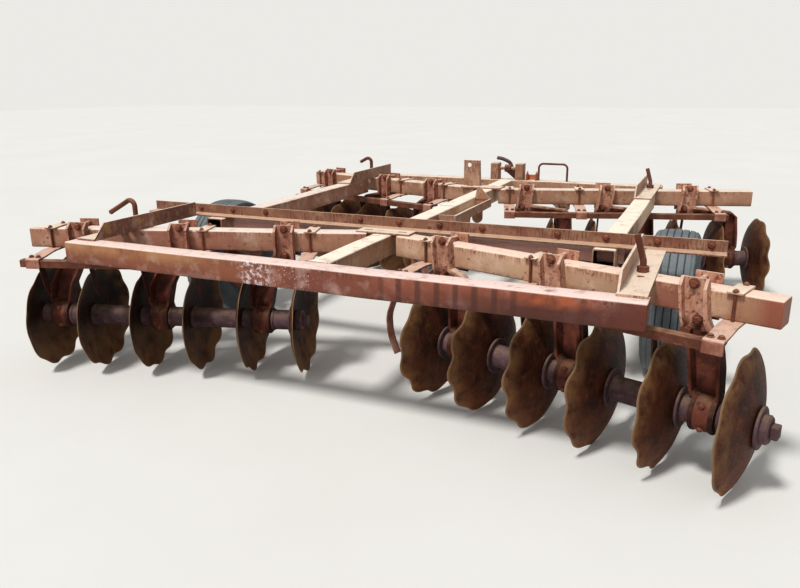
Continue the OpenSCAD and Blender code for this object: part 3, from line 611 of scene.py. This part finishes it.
def waves(values, length, size, seed):
    """Slow unevenness along a length: three sines whose heights fall with their wavelength."""
    rng = np.random.default_rng(seed)
    total = np.zeros_like(values, dtype=float)
    for part in (1.0, 0.43, 0.19):
        total += part * np.sin(values / (length * part) * 2 * math.pi + rng.uniform(0, 6.28))
    return total * size


def carried(outline, x, seed, wander=WANDER):
    """Rings of an outline in (y, z) at the places x, which wander sideways and up and down by slow waves.
    The outline may be one for all rings or one for each."""
    rings = np.zeros((len(x), outline.shape[-2], 3))
    rings[:, :, 0] = x[:, None]
    rings[:, :, 1:] = outline
    rings[:, :, 1] += waves(x, 1.1, wander, seed)[:, None]
    rings[:, :, 2] += waves(x, 0.9, wander, seed + 1)[:, None]
    return rings


def extruded(outline, length, edge=2.5 * MM, seed=0, wander=WANDER):
    """An outline in (y, z) carried along x from 0 to length; the first and last rings draw in by edge, which
    rounds the ends."""
    x = np.concatenate([[0.0], np.linspace(edge, length - edge, max(2, int(length / RING_STEP))), [length]])
    outlines = np.repeat(outline[None], len(x), axis=0)
    outlines[[0, -1]] -= outline / np.maximum(np.linalg.norm(outline, axis=1, keepdims=True), 1e-9) * edge
    return shell(carried(outlines, x, seed, wander))


def closed_tube(start, end, seed):
    """A box tube with round corners and closed ends from start to end, its top face level."""
    length = np.linalg.norm(end - start)
    outline = rounded_rectangle(TUBE, TUBE, TUBE_ROUND)
    return moved(extruded(outline, length, seed=seed), start, facing(end - start))


def tube_bore():
    """Outline of the inside of a box tube."""
    return rounded_rectangle(TUBE - 2 * TUBE_WALL, TUBE - 2 * TUBE_WALL, TUBE_ROUND - TUBE_WALL / 2)


def open_tube(start, end, seed):
    """A box tube that is open at both ends: its outside, its rims, and a lip's length of its inside."""
    length = np.linalg.norm(end - start)
    along = np.linspace(0, length, max(2, int(length / RING_STEP)))
    x = np.concatenate([[TUBE_LIP, 0.0], along, [length, length - TUBE_LIP]])
    outlines = np.repeat(rounded_rectangle(TUBE, TUBE, TUBE_ROUND)[None], len(x), axis=0)
    outlines[[0, 1, -2, -1]] = tube_bore()
    return moved(shell(carried(outlines, x, seed), closed_ends=False), start, facing(end - start))


def tube_lining(start, end, seed):
    """The inside of an open box tube at each end, from the lip to where a cap closes it, facing inward; the
    cap is a near-black sheet of painted shade where the dark bore goes on.
    """
    length = np.linalg.norm(end - start)
    linings = []
    for near, far in ((TUBE_LIP, LINING_DEPTH), (length - TUBE_LIP, length - LINING_DEPTH)):
        points, (grid, _, far_fan) = shell(carried(tube_bore(), np.array([near, far]), seed))
        faces = [grid[:, ::-1], far_fan[:, ::-1]] if near < far else [grid, far_fan]
        linings.append(moved((points, faces), start, facing(end - start)))
    return linings


def round_x(x, radius, angle):
    """Points round the x axis: their places along it, their distances from it and their angles."""
    x, radius, angle = np.broadcast_arrays(x, radius, angle)
    return np.stack([x, radius * np.cos(angle), radius * np.sin(angle)], axis=-1)


def turned(profile_mm, steps=32, first=0.0, closed_ends=True):
    """A profile of (x, radius) pairs in millimetres, turned round the x axis from the first angle on, with
    each end closed at its middle or left open."""
    profile = np.asarray(profile_mm, float) * MM
    angle = np.linspace(0, 2 * math.pi, steps, endpoint=False) + first
    return shell(round_x(profile[:, :1], profile[:, 1:], angle), closed_ends)


def bent_path(points, radius):
    """A path through points with its corners rounded: each is replaced by a curve that starts and ends radius
    away from it, the sum of three points weighted by (1 - t) squared, 2 t (1 - t) and t squared."""
    points = np.asarray(points, float)
    path = [points[:1]]
    t = np.linspace(0, 1, 5)[:, None]
    for before, corner, after in zip(points, points[1:], points[2:]):
        start = corner + (before - corner) / np.linalg.norm(before - corner) * radius
        stop = corner + (after - corner) / np.linalg.norm(after - corner) * radius
        path.append((1 - t) ** 2 * start + 2 * t * (1 - t) * corner + t ** 2 * stop)
    return np.concatenate(path + [points[-1:]])


def smooth_path(points, steps):
    """A path through points: a Catmull-Rom curve, steps points to each stretch."""
    points = np.asarray(points, float)
    padded = np.concatenate([2 * points[:1] - points[1:2], points, 2 * points[-1:] - points[-2:-1]])
    t = np.linspace(0, 1, steps, endpoint=False)[:, None]
    stretches = []
    for a, b, c, d in zip(padded, padded[1:], padded[2:], padded[3:]):
        square, cube = 2 * a - 5 * b + 4 * c - d, 3 * b - a - 3 * c + d
        stretches.append(0.5 * (2 * b + (c - a) * t + square * t ** 2 + cube * t ** 3))
    return np.concatenate(stretches + [points[-1:]])


def directions(path):
    """The unit direction of a path at each of its points."""
    way = np.gradient(path, axis=0)
    return way / np.linalg.norm(way, axis=1, keepdims=True)


def rod_rings(path, radius, sides):
    """The rings of a round rod along a path: each stands square to the path there, without twist."""
    way = directions(path)
    side = facing(way[0])[1]
    angle = np.linspace(0, 2 * math.pi, sides, endpoint=False)[:, None]
    rings = []
    for point, direction in zip(path, way):
        side = side - (side @ direction) * direction
        side /= np.linalg.norm(side)
        rings.append(point + radius * (np.cos(angle) * side + np.sin(angle) * np.cross(direction, side)))
    return np.array(rings)


def weld(start, end, seed, radius=3.5 * MM):
    """A weld bead from start to end: a rod whose thickness ripples by two sines along it."""
    count = max(6, int(np.linalg.norm(np.subtract(end, start)) / (7 * MM)))
    path = np.linspace(start, end, count)
    number = np.arange(count)
    ripple = 1 + 0.16 * np.sin(number * 2.1 + seed) + 0.1 * np.sin(number * 0.9 + 2 * seed)
    rings = rod_rings(path, radius, 8) - path[:, None, :]
    return shell(path[:, None, :] + rings * ripple[:, None, None])


def strap_along(path, wide, thick, across):
    """A flat strap along a path: wide in the direction across, thick square to it, with round edges."""
    path, across = np.asarray(path, float), np.asarray(across, float)
    away = np.cross(directions(path), across[None, :])
    away /= np.linalg.norm(away, axis=1, keepdims=True)
    outline = rounded_rectangle(wide, thick, min(wide, thick) * 0.3, 2)[None]
    sideways, outward = outline[:, :, :1] * across, outline[:, :, 1:] * away[:, None, :]
    return shell(path[:, None, :] + sideways + outward)


def bolts_at(places, direction, kind):
    """Bolts on their seats, all in one direction: a hexagon with a chamfered top on a round washer."""
    across, head, washer = BOLTS[kind]
    hexagon = turned([(3, across / 2), (head - 3, across / 2), (head, across / 2 - 4)], 6, first=0.2)
    disc = turned([(-1, washer), (3, washer), (4, washer - 2)], 18)
    return [moved(part, place, facing(direction)) for place in places for part in (hexagon, disc)]


def gang_axes(end, side):
    """A gang's own frame: its origin, on the ground at the middle of the machine, and its axes u, outward
    along the gang, v, forward, and z."""
    joint = JOINTS[f"{end}_{side}_gang_spin"]
    outward = np.array(joint["axis"], float)
    outward *= np.sign(outward[0]) * SIGN[side]
    forward = np.array([-outward[1], outward[0], 0.0])
    forward *= np.sign(forward[1])
    origin = np.array(joint["pos_m"], float) - outward * (FIRST_HUB + PITCH * (HUBS - 1) / 2)
    origin[2] = 0.0
    return origin, np.array([outward, forward, [0.0, 0.0, 1.0]])


def gang_piece(end, side, name, parts, material, slot, body="frame", **more):
    """One piece of a gang, made of patches in the gang's own frame."""
    origin, axes = gang_axes(end, side)
    placed = [moved(part, origin, axes) for part in parts]
    piece(f"{end}_{side}_{name}", placed, material, body, slot, **more)


def dish(radius):
    """How far the disc's hollow has risen at a radius: a part of a sphere."""
    sphere = (DISC_R ** 2 + DISC_DISH ** 2) / (2 * DISC_DISH)
    return sphere - np.sqrt(sphere ** 2 - radius ** 2)


def disc_patch(seed, deep):
    """A dished disc round the x axis, its hollow towards +x: rings from the hub to a rim whose radius falls
    into ten smooth notches as deep as given, each a raised cosine, worn unevenly by slow sines, with a thin
    edge between the two faces. It also gives each point's share of the way from the hub to the rim, and
    whether the point is on the hollow's side."""
    rng = np.random.default_rng(seed)
    count = 180
    angle = np.linspace(0, 2 * math.pi, count, endpoint=False)
    one, two, three, four = [rng.uniform(0, 6.28) for _ in range(4)]
    notch = (0.5 - 0.5 * np.cos((angle - math.pi / NOTCHES) * NOTCHES + math.pi)) ** 1.25
    worn = 2.0 * MM * (0.5 + 0.5 * np.sin(angle + one)) + 1.5 * MM * (0.5 + 0.5 * np.sin(3 * angle + two))
    rim = DISC_R - worn - deep * notch * (0.8 + 0.3 * np.sin(2 * angle + three))
    inner = 16 * MM
    share = np.array([0, 0.12, 0.24, 0.36, 0.48, 0.60, 0.70, 0.79, 0.87, 0.93, 0.97, 1.0])[:, None]
    radius = inner + share * (rim - inner)
    warp = 1.2 * MM * np.sin(2 * angle + four) * share ** 2
    thick = DISC_T * (1 - 0.55 * np.clip((share - 0.9) / 0.1, 0, 1))
    hollow = dish(radius) + warp
    rings = np.concatenate([round_x(hollow - thick, radius, angle), round_x(hollow, radius, angle)[::-1]])
    wear = np.repeat(np.concatenate([share, share[::-1]]), count)
    return shell(rings, closed_ends=False), wear, np.repeat([0.0, 1.0], len(share) * count)


def make_discs(end, side):
    """Six discs on one gang, each turned and worn in its own way; the end disc of the rear right gang has
    shallower notches."""
    parts, wear, inside = [], [], []
    for i, hub in enumerate(HUB_U):
        worn_smooth = (end, side, i) == ("rear", "right", HUBS - 1)
        deep = NOTCH_DEPTH * (0.5 if worn_smooth else 1.0)
        patch, shares, hollow_side = disc_patch(100 * ENDS.index(end) + 10 * SIDES.index(side) + i, deep)
        spin = 2 * math.pi * (i * 0.37 % 1 + 0.05)
        c, s = math.cos(spin), math.sin(spin)
        parts.append(moved(patch, (hub, 0, AXLE_Z), [[HOLLOW[end], 0, 0], [0, c, s], [0, -s, c]]))
        wear.append(shares)
        inside.append(hollow_side)
    gang_piece(end, side, "disc_set", parts, "disc_steel", "rusted_steel", f"{end}_{side}_gang",
               stands_for=[f"{end}_{side}_discs"], sharp_deg=50,
               attributes={"wear": np.concatenate(wear), "hollow": np.concatenate(inside)})


def spool(low, high):
    """A spool on the gang bolt between two places in millimetres; a longer one flares more at its ends."""
    radius = SPOOL_R / MM
    if high - low <= 40:
        return turned([(low, radius), (high, radius)])
    flared = radius + (6 if high - low > 60 else 2)
    return turned([(low, flared), (low + 8, flared), (low + 16, radius),
                   (high - 16, radius), (high - 8, flared), (high, flared)])


def make_axle(end, side):
    """What turns with the discs of one gang: the square bolt, washers, spools, journals and end nuts."""
    washer = turned([(-6, 60), (-6, 78), (-3, 82), (3, 82), (6, 78), (6, 40)], 36)
    cup = turned([(8, 40), (8, 52), (14, 55), (40, 55), (47, 48), (48, 30)])
    nut = extruded(rounded_rectangle(50 * MM, 50 * MM, 5 * MM, 2), 26 * MM, edge=3 * MM, wander=0)
    pitch, bearing = PITCH / MM, GANGS[(end, side)]["bearing"]
    near, far = bearing - BEARING_LEN / 2 / MM - 6, bearing + BEARING_LEN / 2 / MM + 6
    parts = []
    for i, hub in enumerate(HUB_U):
        parts.append(moved(washer, (hub - HOLLOW[end] * 13 * MM, 0, AXLE_Z)))
        if i in HUNG_HUBS:
            between = [spool(7, near), spool(far, pitch - 7), turned([(near - 2, 38), (far + 2, 38)], 28)]
        else:
            between = [spool(7, pitch - 7)]
        if i < HUBS - 1:
            parts += [moved(part, (hub, 0, AXLE_Z)) for part in between]
    for hub, way, nut_u in ((HUB_U[0], -1, -75 * MM), (HUB_U[-1], 1, 49 * MM)):
        parts.append(moved(cup, (hub, 0, AXLE_Z), np.diag([way, 1, 1])))
        parts.append(moved(nut, (hub + nut_u, 0, AXLE_Z)))
    reach = 70 * MM
    square = rounded_rectangle(27 * MM, 27 * MM, 2 * MM, 2)
    bolt = extruded(square, HUB_U[-1] - HUB_U[0] + 2 * reach, edge=2 * MM, wander=0)
    parts.append(moved(bolt, (HUB_U[0] - reach, 0, AXLE_Z)))
    gang_piece(end, side, "gang_bolt", parts, "rusted_axle", "rusted_steel", f"{end}_{side}_gang",
               stands_for=[f"{end}_{side}_axle"])


def make_hangers(end, side):
    """Three cast hangers of one gang, with the bolts of clamp, foot and bearing and the bearing's caps."""
    gang = GANGS[(end, side)]
    rounded_copy(f"{end}_{side}_hangers", "painted_casting", 3.5)
    cap = turned([(-8, 64), (-8, 72), (-5, 74), (5, 74), (8, 72), (8, 64)], 36)
    cap_step = BEARING_LEN / 2 - 10 * MM
    housing_r, housing_z = 70 * MM, 46 * MM
    housing_back = -math.sqrt(housing_r ** 2 - housing_z ** 2)
    foot_z, foot_step = 583 * MM, 26 * MM
    web_back, nut_seat = BEAM_BACK - CLAMP_WEB, BEAM_FRONT + 10 * MM
    beyond_beam = 16 * MM
    caps, fasteners = [], []
    for hub_no, clamp_u in zip(HUNG_HUBS, gang["clamps"]):
        top = clamp_u * MM
        low = top + gang["lean"] * MM
        bearing = HUB_U[hub_no] + gang["bearing"] * MM
        caps += [moved(cap, (bearing + step, 0, AXLE_Z)) for step in (-cap_step, cap_step)]
        for u, z in ((top, TOP + beyond_beam), (low, TOP - TUBE - beyond_beam)):
            fasteners += bolts_at([(u, web_back, z)], BACK, "clamp bolt")
            fasteners += bolts_at([(u, nut_seat, z)], AHEAD, "clamp nut")
        feet = [(low + step, web_back, foot_z) for step in (-foot_step, foot_step)]
        fasteners += bolts_at(feet, BACK, "foot bolt")
        seats = [(bearing, housing_back, AXLE_Z + step) for step in (-housing_z, housing_z)]
        fasteners += bolts_at(seats, BACK, "bearing bolt")
    gang_piece(end, side, "bearing_caps", caps, "rusted_casting", "red_paint")
    gang_piece(end, side, "clamp_bolts", fasteners, "rusted_bolt", "rusted_steel")


def beside_discs(end, side, gap_mm, room):
    """Places along a gang just off the discs' hollow sides, clear of the dish by the gap for its end, as far
    as the scraper bar reaches with room to spare."""
    step = HOLLOW[end] * (DISC_DISH + gap_mm[end] * MM)
    return [hub + step for hub in HUB_U if hub + step + room < GANGS[(end, side)]["bar_end"] * MM]


def make_scraper_bar(end, side):
    """The angle bar behind one gang, from its first strap on: a level flange on top, a hanging one behind."""
    gang = GANGS[(end, side)]
    start, stop = gang["straps"][0] * MM - STRAP_W / 2, gang["bar_end"] * MM
    back, steel, fillet = -SCRAPER_BAR / 2, SCRAPER_STEEL, 3 * MM
    inner = back + steel
    outline = np.array([[back, -SCRAPER_FLANGE], [inner, -SCRAPER_FLANGE], [inner, -steel - fillet],
                        [inner + fillet, -steel], [-back, -steel], [-back, 0], [back + fillet, 0],
                        [back, -fillet]])
    bar = moved(extruded(outline, stop - start, edge=0.5 * MM, seed=7), (start, SCRAPER_V, SCRAPER_TOP))
    gang_piece(end, side, "scraper_bar", [bar], "rusted_bar", "rusted_steel",
               stands_for=[f"{end}_{side}_scraper"], sharp_deg=30)


def make_scraper_blades(end, side):
    """A narrow pointed blade beside each disc that the bar reaches, leaning over the bar."""
    tilt = math.radians(12)
    v, z = np.array([[-22, 2], [-22, -140], [-3, -200], [3, -200], [22, -140], [22, 2]]).T * MM
    c, s = math.cos(tilt), math.sin(tilt)
    outline = np.stack([v * c - z * s, v * s + z * c], axis=-1)[::-1]
    middle = outline.mean(0)
    blade = extruded(outline - middle, SCRAPER_STEEL, edge=1 * MM, wander=0)
    hang = (SCRAPER_V + middle[0], SCRAPER_TOP - SCRAPER_STEEL + middle[1])
    places = beside_discs(end, side, {"rear": 18, "front": 12}, SCRAPER_STEEL)
    blades = [moved(blade, (u, *hang)) for u in places]
    gang_piece(end, side, "scraper_blades", blades, "rusted_casting", "rusted_steel")


def make_scraper_straps(end, side):
    """The bent straps from the beam down to the scraper bar, with the bolts of straps and blades; on the rear
    right gang also a long curved strip that hangs at the bar's inner end."""
    low, rear = TOP - TUBE, SCRAPER_V - SCRAPER_BAR / 2
    under_beam, on_bar = low - STRAP_T / 2, SCRAPER_TOP + STRAP_T / 2
    straps, fasteners = [], []
    for u in beside_discs(end, side, {"rear": 32, "front": 20}, 30 * MM):
        seats = [(u + step, SCRAPER_V + 4 * MM, SCRAPER_TOP - SCRAPER_STEEL) for step in (-14 * MM, 14 * MM)]
        fasteners += bolts_at(seats, DOWN, "blade bolt")
    for place in GANGS[(end, side)]["straps"]:
        u = place * MM
        bends = [(BEAM_FRONT + 16 * MM, under_beam), (15 * MM, under_beam), (SCRAPER_V + 28 * MM, on_bar),
                 (rear - STRAP_T / 2, on_bar), (rear - STRAP_T / 2, SCRAPER_TOP - SCRAPER_TALL + 7 * MM)]
        path = bent_path([(u, v, z) for v, z in bends], 9 * MM)
        straps.append(strap_along(path, STRAP_W, STRAP_T, (1, 0, 0)))
        seats = [(u + step, SCRAPER_V + 3 * MM, SCRAPER_TOP + STRAP_T) for step in (-19 * MM, 19 * MM)]
        fasteners += bolts_at(seats, UP, "strap bolt")
        under = [(u, BEAM_V + way * CLIP_BOLT_V, low - STRAP_T) for way in (-1, 1)]
        fasteners += bolts_at(under, DOWN, "strap nut")
    if (end, side) == ("rear", "right"):
        curve = [(236, 600), (222, 530), (206, 464), (182, 400), (178, 350), (190, 280), (228, 200)]
        path = smooth_path([(u * MM, SCRAPER_V + 4 * MM, z * MM) for u, z in curve], 5)
        straps.append(strap_along(path, 44 * MM, 8 * MM, (0, 1, 0)))
    gang_piece(end, side, "scraper_straps", straps, "pink_enamel", "cream_paint")
    gang_piece(end, side, "scraper_bolts", fasteners, "rusted_bolt", "rusted_steel")


def make_cross_tubes():
    """The rear and the front tube, along X, with closed ends."""
    for node, material, seed, short in (("rear_tube", "brick_enamel", 3, REAR_TUBE_SHORT),
                                        ("front_tube", "cream_enamel", 5, 0)):
        low, high = corners(node)
        start = np.array([low[0], low[1] + TUBE / 2, TUBE_Z])
        end = np.array([high[0] - short, low[1] + TUBE / 2, TUBE_Z])
        piece(node + "_finished", [closed_tube(start, end, seed)], material, "frame", SLOT_OF[node], [node])


def make_long_tubes():
    """The middle tube and the two side tubes, along Y, open at both ends."""
    for node, material, seed in (("middle_tube", "pale_enamel", 9), ("left_side_tube", "rosy_enamel", 12),
                                 ("right_side_tube", "pale_enamel", 15)):
        low, high = corners(node)
        x = (low[0] + high[0]) / 2
        start, end = np.array([x, low[1], TUBE_Z]), np.array([x, high[1], TUBE_Z])
        piece(node + "_finished", [open_tube(start, end, seed)], material, "frame", SLOT_OF[node], [node])
        piece(node + "_inside", tube_lining(start, end, seed), "tube_inside", "frame", "rusted_steel")


def make_beam(end, side):
    """One gang beam, with the clip plates over it and the long bolts that tie them to the straps below."""
    origin, axes = gang_axes(end, side)
    gang = GANGS[(end, side)]
    node = f"{end}_{side}_beam"
    start, stop = [origin + axes.T @ np.array([u * MM, BEAM_V, TUBE_Z]) for u in gang["beam"]]
    beam = closed_tube(start, stop, 20 + 3 * ENDS.index(end) + SIDES.index(side))
    piece(node + "_finished", [beam], gang["paint"], "frame", SLOT_OF[node], [node])
    clip_w = 60 * MM
    clip_outline = rounded_rectangle(2 * CLIP_BOLT_V + 20 * MM, CLIP_T, 2 * MM, 2)
    plate = extruded(clip_outline, clip_w, edge=1.5 * MM, wander=0)
    tall = TUBE / MM
    shank = turned([(0, 6), (tall + 18, 6), (tall + 20, 4)], 12)
    clips, bolts = [], []
    for place in gang["straps"]:
        u = place * MM
        clips.append(moved(plate, (u - clip_w / 2, BEAM_V, TOP + CLIP_T / 2)))
        for v in (BEAM_V - CLIP_BOLT_V, BEAM_V + CLIP_BOLT_V):
            bolts.append(moved(shank, (u, v, TOP - TUBE), facing(UP)))
            bolts += bolts_at([(u, v, TOP + CLIP_T)], UP, "clip nut")
    gang_piece(end, side, "beam_clips", clips, "clip_enamel", "cream_paint")
    gang_piece(end, side, "beam_clip_bolts", bolts, "rusted_bolt", "rusted_steel")


def make_weld_beads():
    """Weld beads where the middle tube meets the cross tubes, and round a joint in two of the long tubes."""
    half, inset = TUBE / 2, 6 * MM
    low, high = TOP - TUBE + inset, TOP - inset
    middle_tube, right_tube = corners("middle_tube"), corners("right_side_tube")
    beads = []
    for y in (middle_tube[0][1], middle_tube[1][1]):
        for side in (-1, 1):
            beads.append(weld((side * half, y, low), (side * half, y, high), y))
        beads.append(weld((-half + inset, y, TOP), (half - inset, y, TOP), y + 1))
    middle_joint_y, right_joint_y = REAR_Y + 1.70, REAR_Y + 1.86
    for x, y in ((0.0, middle_joint_y), (right_tube[1][0] - half, right_joint_y)):
        beads.append(weld((x - half + inset, y, TOP), (x + half - inset, y, TOP), 3, 3 * MM))
        for side in (-1, 1):
            beads.append(weld((x + side * half, y, low), (x + side * half, y, high), 4, 3 * MM))
    piece("weld_beads", beads, "pale_enamel", "frame", "cream_paint")


def make_angle_iron():
    """The angle iron across the rear beams, its upright flange square at the ends. Its bolts stand 9 inches
    apart, but for two wider gaps."""
    low, high = corners("rear_angle_iron")
    thick, spacing, middle_bolt, bolt_height = 8 * MM, 228 * MM, 25 * MM, 36 * MM

    def square_ended(points):
        far = (points[:, 2] > TOP + 40 * MM) & (np.abs(points[:, 0]) > high[0] - 70 * MM)
        points[far, 0] = np.sign(points[far, 0]) * high[0]
        return points

    rounded_copy("rear_angle_iron", "angle_enamel", 2.0, square_ended)
    numbers = (-5.66, -4.66, -3.66, -1, 0, 1, 2, 3.66, 4.66, 5.66, 6.66)
    seats = [(middle_bolt + number * spacing, high[1] - thick, low[2] + bolt_height) for number in numbers]
    bolts = bolts_at(seats, BACK, "angle iron bolt")
    piece("angle_iron_bolts", bolts, "rusted_bolt", "frame", "rusted_steel")


def wheel_place(side):
    """The middle of a wheel and its axes, with x outward."""
    low, high = corners(side + "_tyre")
    centre = np.array(JOINTS[side + "_wheel_spin"]["pos_m"], float)
    centre[0] = (low[0] + high[0]) / 2
    return centre, np.diag([SIGN[side], 1, 1])


def make_tyre(side):
    """A ribbed implement tyre: its tread falls from the middle by a power of the way to its edge, with a
    smooth groove at six places, and its walls bulge and draw in to the bead."""
    steps, tyre_r, crown_fall, crown_half = 96, 375, 14, 100
    tread = np.linspace(-96, 96, 161)
    groove = np.zeros_like(tread)
    for place, depth in ((-47, 8), (-14, 8), (22, 8), (55, 8), (-77, 3), (84, 3)):
        groove += depth * np.exp(-((tread - place) / 2.6) ** 4)
    crown = tyre_r - crown_fall * (np.abs(tread) / crown_half) ** 3.2 - groove
    wall = [(-71, 178), (-76, 196), (-79, 208), (-92, 222), (-106, 238), (-116, 262), (-119, 288),
            (-117, 314), (-110, 338), (-102, 354)]
    profile = wall + list(zip(tread, crown)) + [(-x, r) for x, r in wall[::-1]]
    on_tread = np.concatenate([np.zeros(len(wall)), 1 - groove / 9, np.zeros(len(wall))])
    tyre = moved(turned(profile, steps, closed_ends=False), *wheel_place(side))
    piece(side + "_tyre_ribbed", [tyre], "bleached_rubber", side + "_wheel", "tyre_rubber", [side + "_tyre"],
          attributes={"tread": np.repeat(on_tread, steps)}, sharp_deg=50)


def make_rim(side):
    """A pressed rim: its dished middle from the hub out, the well with its two flanges, and back inside."""
    dished = [(-70, 23), (-70, 56), (-62, 58), (-24, 58), (-16, 74), (-6, 120), (-3, 150), (0, 168), (0, 169)]
    well = [(-79, 169), (-87, 203), (-84, 206), (-81, 203), (-74, 177), (-60, 172), (60, 172), (74, 177),
            (81, 203), (84, 206), (88, 203), (80, 169)]
    back = [(10, 168), (4, 150), (2, 120), (-8, 74), (-8, 58), (40, 52), (58, 50), (66, 40), (66, 23)]
    rim = moved(turned(dished + well + back, 64, closed_ends=False), *wheel_place(side))
    piece(side + "_rim_pressed", [rim], "red_rim_enamel", side + "_wheel", "red_paint", [side + "_rim"],
          sharp_deg=40)


def make_hub_fittings(side):
    """The hub's cap and five wheel bolts round it."""
    centre, axes = wheel_place(side)
    cap = moved(turned([(58, 36), (70, 35), (80, 26), (83, 8)], 28), centre, axes)
    circle_r, count = 84 * MM, 5
    angles = np.arange(count) * 2 * math.pi / count
    seats = centre + round_x(SIGN[side] * 1 * MM, circle_r, angles)
    bolts = bolts_at(seats, axes[0], "wheel bolt")
    piece(side + "_hub_fittings", [cap] + bolts, "rusted_bolt", side + "_wheel", "rusted_steel")


def make_crank():
    """The bent crank of the levelling screw, between the two hitch blocks."""
    pivot = np.array(JOINTS["levelling_swing"]["pos_m"], float)
    steps = np.array([(16, 6, -20), (26, 10, 8), (4, 14, 46), (-50, 16, 70), (-96, 16, 78)]) * MM
    crank = shell(rod_rings(smooth_path(pivot + steps, 6), 14 * MM, 14))
    piece("levelling_crank", [crank], "rusted_axle", "levelling_tube", "rusted_steel")


def make_brackets():
    """The channels that bridge over the beams near the corners; their walls rise steeply at the rear."""
    def steep_ended(points):
        start = points[:, 1].min()
        crest = (points[:, 2] > TOP + 70 * MM) & (points[:, 1] < start + 400 * MM)
        points[crest, 1] = start + 80 * MM
        return points

    rounded_copy("rear_corner_brackets", "clip_enamel", 2.0, steep_ended)
    rounded_copy("front_corner_brackets", "cream_enamel", 2.0, steep_ended)


def make_small_parts():
    """Plates, pins, the hitch blocks, the hose loop, the drawbar and its levelling screw, as in the CAD."""
    for node, material, width_mm in (
            ("rear_joint_plate", "cream_enamel", 2.0), ("front_joint_plate", "cream_enamel", 2.0),
            ("cylinder_bracket", "cream_enamel", 2.0), ("hitch_mast", "hitch_enamel", 3.0),
            ("hose_loop", "rusted_bar", 0.5), ("gang_pins", "rusted_bar", 1.5),
            ("drawbar", "cream_enamel", 4.0), ("levelling_tube", "rusted_bar", 1.5),
            ("levelling_rod", "rusted_axle", 1.5)):
        rounded_copy(node, material, width_mm)


def make_lift():
    """The cross shaft, its lever and arms, and the cylinder, as in the CAD."""
    for node, material, width_mm in (
            ("lift_shaft", "shaft_enamel", 2.0), ("right_wheel_arm", "brick_enamel", 3.0),
            ("left_wheel_arm", "brick_enamel", 3.0), ("lift_barrel", "rusted_bar", 2.0),
            ("lift_rod", "dulled_chrome", 1.0)):
        rounded_copy(node, material, width_mm)


def make_studio():
    """A pale floor, a soft high key light from the rear left, a weaker fill and an even pale surround."""
    half = 40.0
    mesh = bpy.data.meshes.new("studio_floor")
    square = [(-half, -half, 0), (half, -half, 0), (half, half, 0), (-half, half, 0)]
    mesh.from_pydata(square, [], [(0, 1, 2, 3)])
    mesh.materials.append(MATERIALS["studio_floor"])
    floor = bpy.data.objects.new("studio_floor", mesh)
    bpy.context.scene.collection.objects.link(floor)
    for name, strength, angle, turn in (("key", 2.95, 10.0, (28, -12, 0)), ("fill", 0.6, 60.0, (62, 0, 8))):
        lamp = bpy.data.lights.new(name, "SUN")
        lamp.energy = strength
        lamp.angle = math.radians(angle)
        thing = bpy.data.objects.new(name, lamp)
        thing.rotation_euler = [math.radians(t) for t in turn]
        bpy.context.scene.collection.objects.link(thing)
    world = bpy.data.worlds.new("studio")
    world.use_nodes = True
    tree = world.node_tree
    tree.nodes.clear()
    light = add(tree, "Background", values={"Color": linear("#dfe4e8"), "Strength": 0.52})
    seen = add(tree, "Background", values={"Color": linear("#eceae6"), "Strength": 1.0})
    path = add(tree, "LightPath")
    by_camera = path.outputs["Is Camera Ray"]
    mix = add(tree, "MixShader", links={0: by_camera, 1: light.outputs[0], 2: seen.outputs[0]})
    add(tree, "OutputWorld", links={"Surface": mix.outputs[0]})
    bpy.context.scene.world = world
    bpy.context.scene.view_settings.view_transform = "Standard"


camera_like_the_photo()
make_studio()
make_cross_tubes()
make_long_tubes()
for end, side in GANGS:
    make_beam(end, side)
make_angle_iron()
make_brackets()
make_small_parts()
make_weld_beads()
make_crank()
make_lift()
for side in SIDES:
    make_tyre(side)
    make_rim(side)
    make_hub_fittings(side)
for end, side in GANGS:
    make_discs(end, side)
    make_axle(end, side)
    make_hangers(end, side)
    make_scraper_bar(end, side)
    make_scraper_blades(end, side)
    make_scraper_straps(end, side)
